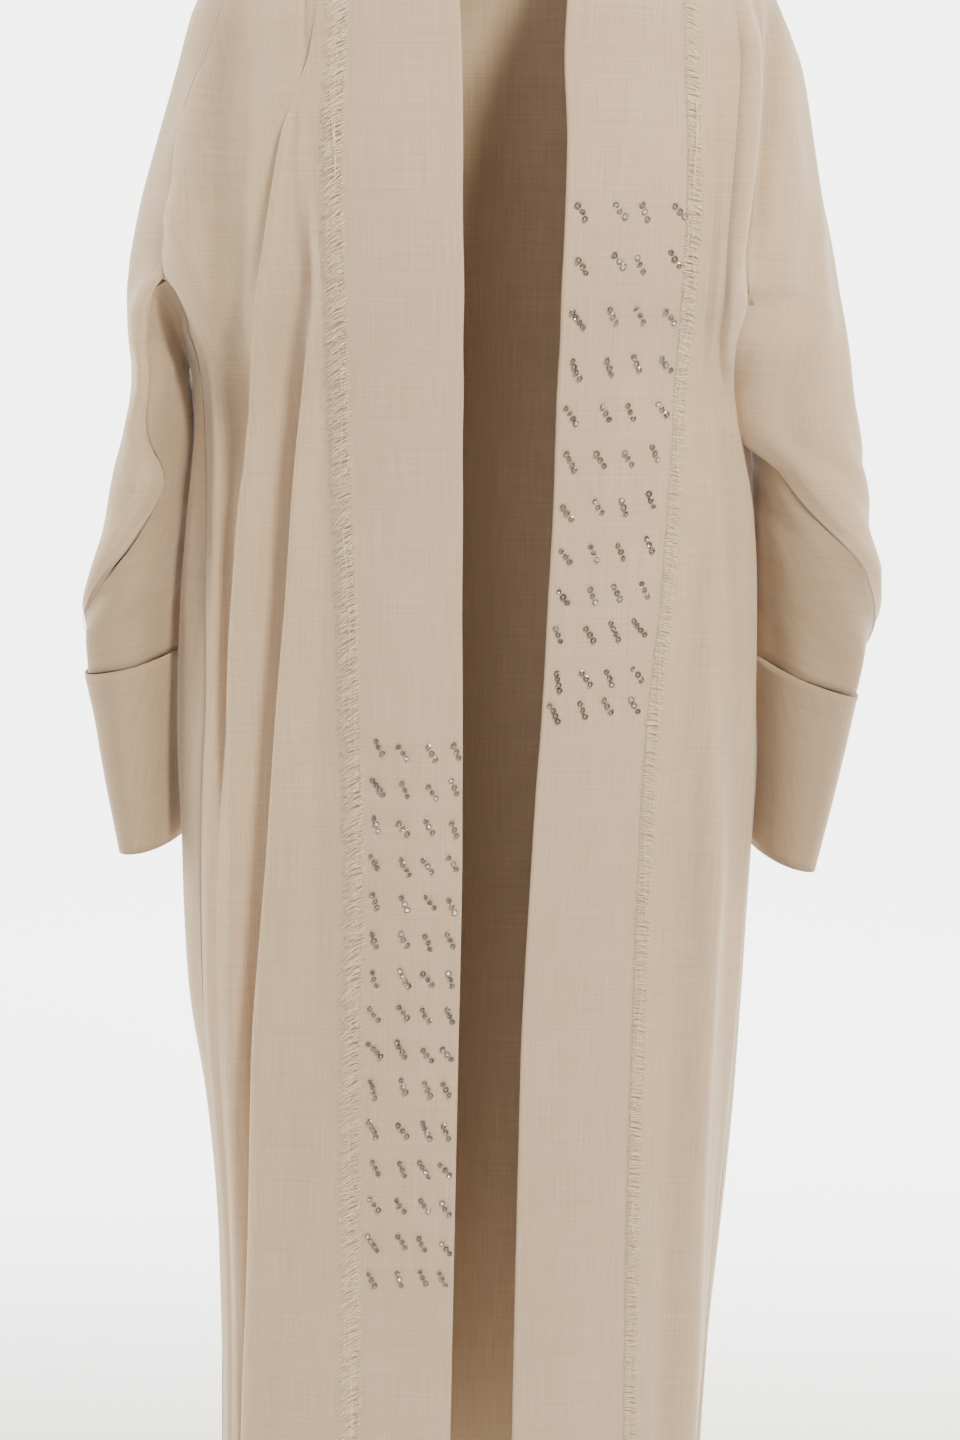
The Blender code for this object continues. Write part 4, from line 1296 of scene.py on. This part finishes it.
def over_surface(rows, lengths, down, across, step=0.001):
    """Points at a length down the root column and a length across from it."""
    row = np.clip(np.interp(down, lengths, np.arange(len(rows))), 0, len(rows) - 1.001)
    column = np.clip(across / step, 0, rows.shape[1] - 1.001)
    i, j = row.astype(int), column.astype(int)
    s, t = (row - i)[..., None], (column - j)[..., None]
    return ((rows[i, j] * (1 - t) + rows[i, j + 1] * t) * (1 - s)
            + (rows[i + 1, j] * (1 - t) + rows[i + 1, j + 1] * t) * s)


def tubes(name, lines, radii, material, sides=3):
    """Thin tapered tubes along many lines at once: lines is (count, points, 3)."""
    count, steps = lines.shape[:2]
    ways = np.gradient(lines, axis=1)
    ways /= np.maximum(np.linalg.norm(ways, axis=2, keepdims=True), 1e-9)
    first = np.cross(ways, np.array((0.13, -0.97, 0.21)))
    first /= np.maximum(np.linalg.norm(first, axis=2, keepdims=True), 1e-9)
    second = np.cross(ways, first)
    rings = []
    for k in range(sides):
        turn = 2 * math.pi * k / sides
        rings.append(lines + (first * math.cos(turn) + second * math.sin(turn)) * radii[..., None])
    points = np.stack(rings, axis=2).reshape(-1, 3)
    index = np.arange(count * steps * sides).reshape(count, steps, sides)
    around = np.roll(index, -1, axis=2)
    corners = (index[:, :-1], around[:, :-1], around[:, 1:], index[:, 1:])
    quads = np.stack(corners, axis=-1).reshape(-1, 4)
    caps = np.vstack((index[:, 0, ::-1], index[:, -1]))
    mesh = bpy.data.meshes.new(name)
    mesh.from_pydata(points.tolist(), [], quads.tolist() + caps.tolist())
    mesh.shade_smooth()
    mesh.materials.append(material)
    return linked(name, mesh)


FRINGE_LOOK = {
    -1: {"length": 0.0138, "slant": 0.50, "uneven": 0.0055,
         "inside": 0.0050, "tuft": 0.35, "stray": 0.20},
    1: {"length": 0.0115, "slant": 0.10, "uneven": 0.0024,
        "inside": 0.0020, "tuft": 0.18, "stray": 0.08},
}
FRINGE_INSIDE_COLUMNS = 3
FRINGE_SURFACE_WIDTH = 0.040
TUFT_WAVES = (240, 610, 1290)
LOOSE_THREADS = 16
LOOSE_KEPT_IN = 0.12
LOOSE_LIFT = 0.0024


def fringe_ground(side, body, band_end):
    """What the threads lie on: rows outwards from their roots, lengths down, normals, band's edge."""
    outer = raised(body, side > 0, CLOTH + LAYER_GAP)
    root = band_end - FRINGE_INSIDE_COLUMNS
    rows = arcs(outer, root, FRINGE_SURFACE_WIDTH)
    steps = np.linalg.norm(np.diff(outer[:, root], axis=0), axis=1)
    lengths = np.concatenate(([0], np.cumsum(steps)))
    normals = grid_normals(outer, side > 0)[:, root]
    edge = lengths_across(outer[:, root:band_end + 1])[:, -1]
    return rows, lengths, normals, edge


def upwards(starts, lengths, normals):
    """The cloth's outward direction at lengths down the roots."""
    return np.array([np.interp(starts, lengths, normals[:, axis]) for axis in range(3)]).T[:, None]


def thread_lines(look, ground, random):
    """Fine threads side by side that slant down and tangle: their points and radii."""
    rows, lengths, normals, edge = ground
    count = int(lengths[-1] / THREAD_PITCH)
    starts = (np.arange(count) + random.uniform(-0.4, 0.4, count)) * THREAD_PITCH
    edge = np.interp(starts, lengths, edge)
    clump = sum(np.sin(starts * f + p) for f, p in zip(TUFT_WAVES, random.uniform(0, 6, 3))) / 3
    inside = look["inside"] * random.uniform(0, 1, count) ** 1.6
    reach = look["length"] + look["uneven"] * (0.6 * clump + random.uniform(-0.55, 0.45, count))
    lean = look["slant"] + look["tuft"] * clump + random.normal(0, look["stray"], count)
    height = 0.0016 * random.uniform(0, 1, count) ** 1.4
    bend = random.normal(0, 0.14, count)
    t = np.linspace(0, 1, THREAD_POINTS)[None]
    across = edge[:, None] - inside[:, None] + (reach + inside)[:, None] * (t - 0.08 * t ** 2)
    down = starts[:, None] + reach[:, None] * (lean[:, None] * t + (0.16 + bend[:, None]) * t ** 2)
    lift = 0.0018 - 0.0009 * t + 0.7 * height[:, None] * np.sin(math.pi * (0.1 + 0.8 * t))
    points = over_surface(rows, lengths, down, across)
    points += upwards(starts, lengths, normals) * lift[..., None]
    return points, THREAD_RADIUS * (1 - 0.45 * t) * random.uniform(0.75, 1.3, count)[:, None]


def stray_lines(ground, random):
    """A few long loose threads that wander down over the fringe: their points and radii."""
    rows, lengths, normals, _ = ground
    begin = random.uniform(LOOSE_KEPT_IN, lengths[-1] - LOOSE_KEPT_IN, LOOSE_THREADS)
    t = np.linspace(0, 1, THREAD_POINTS * 3)[None]
    wander = 0.5 + 0.5 * np.sin(3 * t + begin[:, None] * 40)
    across = 0.010 + 0.006 * random.uniform(0.3, 1, LOOSE_THREADS)[:, None] * wander
    down = begin[:, None] + random.uniform(0.03, 0.07, LOOSE_THREADS)[:, None] * t
    points = over_surface(rows, lengths, down, across)
    points += upwards(begin, lengths, normals) * LOOSE_LIFT
    return points, np.full(points.shape[:2], THREAD_RADIUS)


def fringe_threads(side, body, band_end, material):
    """The frayed edge of a band."""
    random = np.random.RandomState(31 + side)
    ground = fringe_ground(side, body, band_end)
    name = SIDE_NAMES[side] + "_fringe"
    threads = tubes(name + "_threads", *thread_lines(FRINGE_LOOK[side], ground, random), material)
    strays = tubes(name + "_strays", *stray_lines(ground, random), material)
    return threads, strays


BEAD_FIELDS = {
    -1: {"tops": (-629, -658, -688, -717, -747, -777, -806, -835, -864, -894, -927, -958,
                  -990, -1021, -1050),
         "first": (-76, -74), "across": ((0, 20, 40, 58), (0, 22, 39, 55)), "rise": 0},
    1: {"tops": (-234, -270, -308, -342, -376, -411, -446, -478, -510, -541, -573, -598),
        "first": (65, 56), "across": ((0, 26, 44, 68), (0, 20, 39, 58)), "rise": 5},
}
CLUSTER_NUMBERS = (3, 3, 3, 3, 3, 3, 4)
BEAD_ABOVE = 0.0009
BEAD_TILT = 0.8
FILLED_SHARE = 0.16


def copies(shape, faces, places):
    """The points and faces of a shape, once at each placed frame."""
    points, all_faces = [], []
    for k, place in enumerate(places):
        matrix = np.array(place)
        points.append(shape @ matrix[:3, :3].T + matrix[:3, 3])
        all_faces += [tuple(corner + k * len(shape) for corner in face) for face in faces]
    return np.vstack(points), all_faces


def bead_rings(places, ring, wall, around=9, across=5):
    """Faceted ring beads."""
    u = np.arange(around) * 2 * math.pi / around
    v = np.arange(across) * 2 * math.pi / across + 0.4
    big, small = np.meshgrid(u, v, indexing="ij")
    reach = ring + wall * np.cos(small)
    shape = (reach * np.cos(big), reach * np.sin(big), 0.8 * wall * np.sin(small))
    index = np.arange(around * across).reshape(around, across)
    next_u, next_v = np.roll(index, -1, axis=0), np.roll(index, -1, axis=1)
    quads = np.stack((index, next_u, np.roll(next_u, -1, axis=1), next_v), axis=-1)
    return copies(np.stack(shape, axis=-1).reshape(-1, 3), quads.reshape(-1, 4).tolist(), places)


def bead_gems(places, radius):
    """Small faceted crystals that fill some rings."""
    u = np.arange(6) * math.pi / 3
    rim = np.stack((radius * np.cos(u), radius * np.sin(u), np.full(6, 0.0003)), axis=-1)
    crown = rim * (0.55, 0.55, 0) + (0, 0, 0.0009)
    shape = np.vstack((rim, crown, [(0, 0, -0.0006)]))
    faces = [(i, (i + 1) % 6, 6 + (i + 1) % 6, 6 + i) for i in range(6)] + [(6, 7, 8, 9, 10, 11)]
    faces += [((i + 1) % 6, i, 12) for i in range(6)]
    return copies(shape, faces, places)


def outer_face(side, band_grid):
    """The band's outer face, to find points on."""
    outer = raised(band_grid, side > 0, BAND_CLOTH)
    rows, columns = outer.shape[:2]
    index = np.arange(rows * columns).reshape(rows, columns)
    corners = (index[:-1, :-1], index[:-1, 1:], index[1:, 1:], index[1:, :-1])
    quads = np.stack(corners, axis=-1).reshape(-1, 4)
    return BVHTree.FromPolygons(outer.reshape(-1, 3).tolist(), quads.tolist())


def cluster_centres(field, random):
    """The middles of a band's bead clusters, four in a row, in front of the band."""
    for row, z in enumerate(field["tops"]):
        share = row / (len(field["tops"]) - 1)
        for column in range(4):
            top, bottom = field["across"][0][column], field["across"][1][column]
            first = field["first"][0] * (1 - share) + field["first"][1] * share
            x = first + top * (1 - share) + bottom * share + random.uniform(-1.4, 1.4)
            height = z + field["rise"] * column / 3 + random.uniform(-2.5, 2.5)
            yield Vector((x * MM, -1.0, height * MM))


def cluster_spots(centre, random):
    """The three or four places of a slanting cluster."""
    number = random.choice(CLUSTER_NUMBERS)
    slant = BEAD_SLANT + random.normal(0, 0.12)
    for k in range(number):
        step = (k - (number - 1) / 2) * BEAD_STEP * (1 if number == 3 else 0.85)
        spot = centre + Vector((math.sin(slant) * step, 0, -math.cos(slant) * step))
        spot.x += random.uniform(-0.0005, 0.0005)
        yield spot


def bead_frame(face, spot, random):
    """A bead's own frame on the band behind a spot, tilted a little, or None beside the band."""
    hit, normal = face.ray_cast(spot, Vector((0, 1, 0)))[:2]
    if hit is None:
        return None
    normal = -normal if normal.y > 0 else normal
    tilt = Vector(random.normal(0, 0.30, 3))
    turn = (normal + tilt * BEAD_TILT).to_track_quat("Z", "Y").to_matrix().to_4x4()
    place = Matrix.Translation(hit + normal * BEAD_ABOVE) @ turn
    place = place @ Matrix.Rotation(random.uniform(0, math.pi), 4, "Z")
    return place @ Matrix.Scale(random.uniform(0.88, 1.08), 4)


def bead_places(side, band_grid, random):
    """Frames for the beads: slanting clusters in rows down the band."""
    face, places = outer_face(side, band_grid), []
    for centre in cluster_centres(BEAD_FIELDS[side], random):
        for spot in cluster_spots(centre, random):
            places.append(bead_frame(face, spot, random))
    return [place for place in places if place is not None]


def beads(side, band_grid, smoke, crystal):
    random = np.random.RandomState(71 + side)
    places = bead_places(side, band_grid, random)
    filled = [place for place in places if random.uniform() < FILLED_SHARE]
    made = []
    for label, (points, faces), material in (
            ("beads", bead_rings(places, BEAD_RING, BEAD_WALL), smoke),
            ("crystals", bead_gems(filled, BEAD_RING), crystal)):
        name = SIDE_NAMES[side] + "_" + label
        mesh = bpy.data.meshes.new(name)
        mesh.from_pydata(points.tolist(), [], faces)
        mesh.materials.append(material)
        made.append(linked(name, mesh))
    return made


SEWING_RADIUS = 0.00032
SEAM_STEP = 0.0005


def sewn_line(name, line, material):
    """A sewn line that lies in the cloth: line is its points. Its thread is real stitching, and its dark
    colour also paints the shade in the seam's groove.
    """
    line = np.asarray(line)[None]
    return tubes(name, line, np.full(line.shape[:2], SEWING_RADIUS), material, 5)


def seam_line(grid, flip):
    """Points at the sewn distance from a grid's first column, on the cloth's outer face."""
    rows = arcs(raised(grid, flip, CLOTH), 0, SEWN_IN + 0.002, SEAM_STEP)
    return rows[:, int(round(SEWN_IN / SEAM_STEP))]


def seam_lines(side, body, sleeve, material):
    """The sewn line along the side seam and on down the sleeve."""
    flip = side > 0
    start = underarm_row(body) + 1
    name = SIDE_NAMES[side]
    if side > 0:
        start = int(np.argmin(abs(sleeve[:, 0, 2] - SLEEVE_FREE_Z)))
    lines = [sewn_line(name + "_sleeve_seam", seam_line(sleeve[start:], flip), material)]
    if side < 0:
        down_side = seam_line(body[start:, ::-1], not flip)
        lines.append(sewn_line(name + "_side_seam", down_side, material))
    return lines


def thread_material(name, colour):
    material, tree, shader = new_material(
        name, Roughness=0.75, Sheen_Weight=0.7, Sheen_Tint=(1.0, 0.93, 0.80, 1.0))
    place = node(tree, "ShaderNodeTexCoord").outputs["Object"]
    grain = slubs(tree, place, 420, 420, 2.0)
    tone = ramp(tree, grain, 0.35, 0.65, *shades(colour, 0.88, 1.12))
    tree.links.new(tone, shader.inputs["Base Color"])
    return material


def bead_material(name, colour, metallic, roughness, coat):
    material, tree, shader = new_material(
        name, Metallic=metallic, Roughness=roughness, Coat_Weight=coat)
    place = node(tree, "ShaderNodeTexCoord").outputs["Object"]
    cloud = slubs(tree, place, 240, 240, 1.0)
    tone = ramp(tree, cloud, 0.35, 0.65, *shades(colour, 0.6, 1.5))
    tree.links.new(tone, shader.inputs["Base Color"])
    return material


CAMERA_PLACE = (0, -1.85, -0.233)
CAMERA_TILT = math.radians(78)
PICTURE_ROLL = math.radians(1.27)


def camera():
    lens = bpy.data.cameras.new("photo_camera")
    lens.lens = 60
    lens.sensor_width = 36
    eye = linked("photo_camera", lens)
    eye.matrix_world = (Matrix.Translation(CAMERA_PLACE)
                        @ Matrix.Rotation(CAMERA_TILT, 4, "X")
                        @ Matrix.Rotation(PICTURE_ROLL, 4, "Z"))
    bpy.context.scene.camera = eye


FLOOR_Z = -1.56
FLOOR_FRONT_Y = -4.0
FLOOR_HALF_WIDTH = 6.0
SWEEP_Y = 2.2
SWEEP_RADIUS = 1.5
WALL_HEIGHT = 4.5
BACKDROP_GLOW = 3.2


def backdrop_white():
    """A pale backdrop that glows softly behind the cloak and not in front of it."""
    material, tree, shader = new_material(
        "backdrop_white", Base_Color=(0.86, 0.86, 0.86, 1.0), Roughness=0.9,
        Emission_Color=(1.0, 1.0, 1.0, 1.0))
    place = node(tree, "ShaderNodeSeparateXYZ")
    tree.links.new(node(tree, "ShaderNodeTexCoord").outputs["Object"], place.inputs["Vector"])
    behind = node(tree, "ShaderNodeMapRange", interpolation_type="SMOOTHSTEP")
    behind.inputs["From Min"].default_value = 0.1
    behind.inputs["From Max"].default_value = 1.4
    behind.inputs["To Max"].default_value = BACKDROP_GLOW
    tree.links.new(place.outputs["Y"], behind.inputs["Value"])
    tree.links.new(behind.outputs["Result"], shader.inputs["Emission Strength"])
    return material


def floor():
    """A pale floor that sweeps up into a wall behind the cloak."""
    profile = [(FLOOR_FRONT_Y, 0.0), (SWEEP_Y, 0.0)]
    for turn in np.linspace(0, math.pi / 2, 17)[1:]:
        profile.append((SWEEP_Y + SWEEP_RADIUS * math.sin(turn), SWEEP_RADIUS * (1 - math.cos(turn))))
    profile.append((SWEEP_Y + SWEEP_RADIUS, WALL_HEIGHT))
    points = [(x, y, FLOOR_Z + z) for y, z in profile for x in (-FLOOR_HALF_WIDTH, FLOOR_HALF_WIDTH)]
    faces = [(2 * i, 2 * i + 1, 2 * i + 3, 2 * i + 2) for i in range(len(profile) - 1)]
    mesh = bpy.data.meshes.new("floor")
    mesh.from_pydata(points, [], faces)
    mesh.shade_smooth()
    mesh.materials.append(backdrop_white())
    linked("floor", mesh)


def lamp(name, place, target, size, power, colour):
    light = bpy.data.lights.new(name, "AREA")
    light.shape = "RECTANGLE"
    light.size, light.size_y = size
    light.energy = power
    light.color = colour
    thing = linked(name, light)
    thing.location = place
    thing.rotation_euler = (Vector(target) - Vector(place)).to_track_quat("-Z", "Y").to_euler()


def studio():
    """Soft, low light all round, a warm key from the front, and lamps at the sides and the backdrop."""
    world = bpy.data.worlds.new("studio")
    world.use_nodes = True
    around = world.node_tree.nodes["Background"]
    around.inputs["Color"].default_value = (0.94, 0.96, 1.0, 1.0)
    around.inputs["Strength"].default_value = 0.17
    bpy.context.scene.world = world
    lamp("key", (0.95, -2.0, 1.45), (0, 0, -0.35), (0.5, 0.5), 118, (1.0, 0.92, 0.76))
    lamp("front", (-0.5, -3.4, 0.3), (0, 0, -0.8), (1.4, 1.4), 22, (0.98, 0.94, 1.0))
    lamp("warm_right", (-2.4, 0.2, -0.2), (0, 0, -0.5), (0.7, 1.6), 60, (1.0, 0.90, 0.66))
    lamp("warm_left", (2.5, 0.3, -0.2), (0, 0, -0.7), (0.7, 1.8), 34, (1.0, 0.90, 0.66))
    lamp("wash", (0, 0.9, 3.4), (0, 3.2, -0.9), (5.0, 1.6), 200, (1.0, 1.0, 1.0))


SHEETS = {
    "right_front": (0.68, 1.48, 0.41),
    "left_front": (0.67, 1.48, 0.35),
    "back": (1.42, 1.47, 0.94),
    "right_band": (0.078, 1.48, None),
    "left_band": (0.086, 1.48, None),
    "right_cuff": (0.301, 0.150, 0.0403),
    "left_cuff": (0.315, 0.150, 0.0415),
}


def state_sheet(piece, name, with_pieces=()):
    width, length, area = SHEETS[name]
    list(with_pieces)


def side_pieces(side, looks):
    """The pieces of one side, each with the node that it stands for and its slot."""
    name = SIDE_NAMES[side]
    front, body, sleeve, band_end = front_piece(side, looks["cloth"])
    band, band_grid = band_piece(side, body, band_end, looks["band"])
    threads, strays = fringe_threads(side, body, band_end, looks["fringe"])
    placed = [(front, name + "_front", "linen"), (band, name + "_band", "band"),
              (cuff_piece(side, looks["cloth"]), name + "_cuff", "linen"),
              (threads, name + "_fringe", "fringe"), (strays, None, "fringe")]
    ring_and_gem = beads(side, band_grid, looks["smoke"], looks["crystal"])
    placed += [(piece, None, "band") for piece in ring_and_gem]
    placed += [(piece, None, "linen") for piece in seam_lines(side, body, sleeve, looks["sewing"])]
    return placed


def main():
    camera()
    studio()
    floor()
    looks = {
        "cloth": linen("linen", (0.60, 0.45, 0.305)),
        "band": linen("band_linen", (0.61, 0.455, 0.32)),
        "fringe": thread_material("fringe_thread", (0.97, 0.78, 0.55)),
        # The sewing thread's dark colour is partly painted shade: it also stands for the shadow in each
        # seam's groove.
        "sewing": thread_material("sewing_thread", (0.27, 0.20, 0.14)),
        "smoke": bead_material("smoky_bead", (0.16, 0.135, 0.11), 0.35, 0.22, 0.6),
        "crystal": bead_material("clear_bead", (0.82, 0.80, 0.76), 0.6, 0.08, 1.0),
    }
    placed = side_pieces(-1, looks) + side_pieces(1, looks)
    placed.append((back_piece(looks["cloth"]), "back", "linen"))
    fringes = {}
    for piece, stands_for, slot in placed:
        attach(piece, "root")
        if stands_for:
            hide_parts(stands_for)
        if slot == "fringe":
            fringes.setdefault(piece.name.split("_")[0], []).append(piece)
    for piece, stands_for, slot in placed:
        if stands_for in SHEETS:
            on_it = fringes[stands_for.split("_")[0]] if stands_for.endswith("band") else ()
            state_sheet(piece, stands_for, on_it)


main()
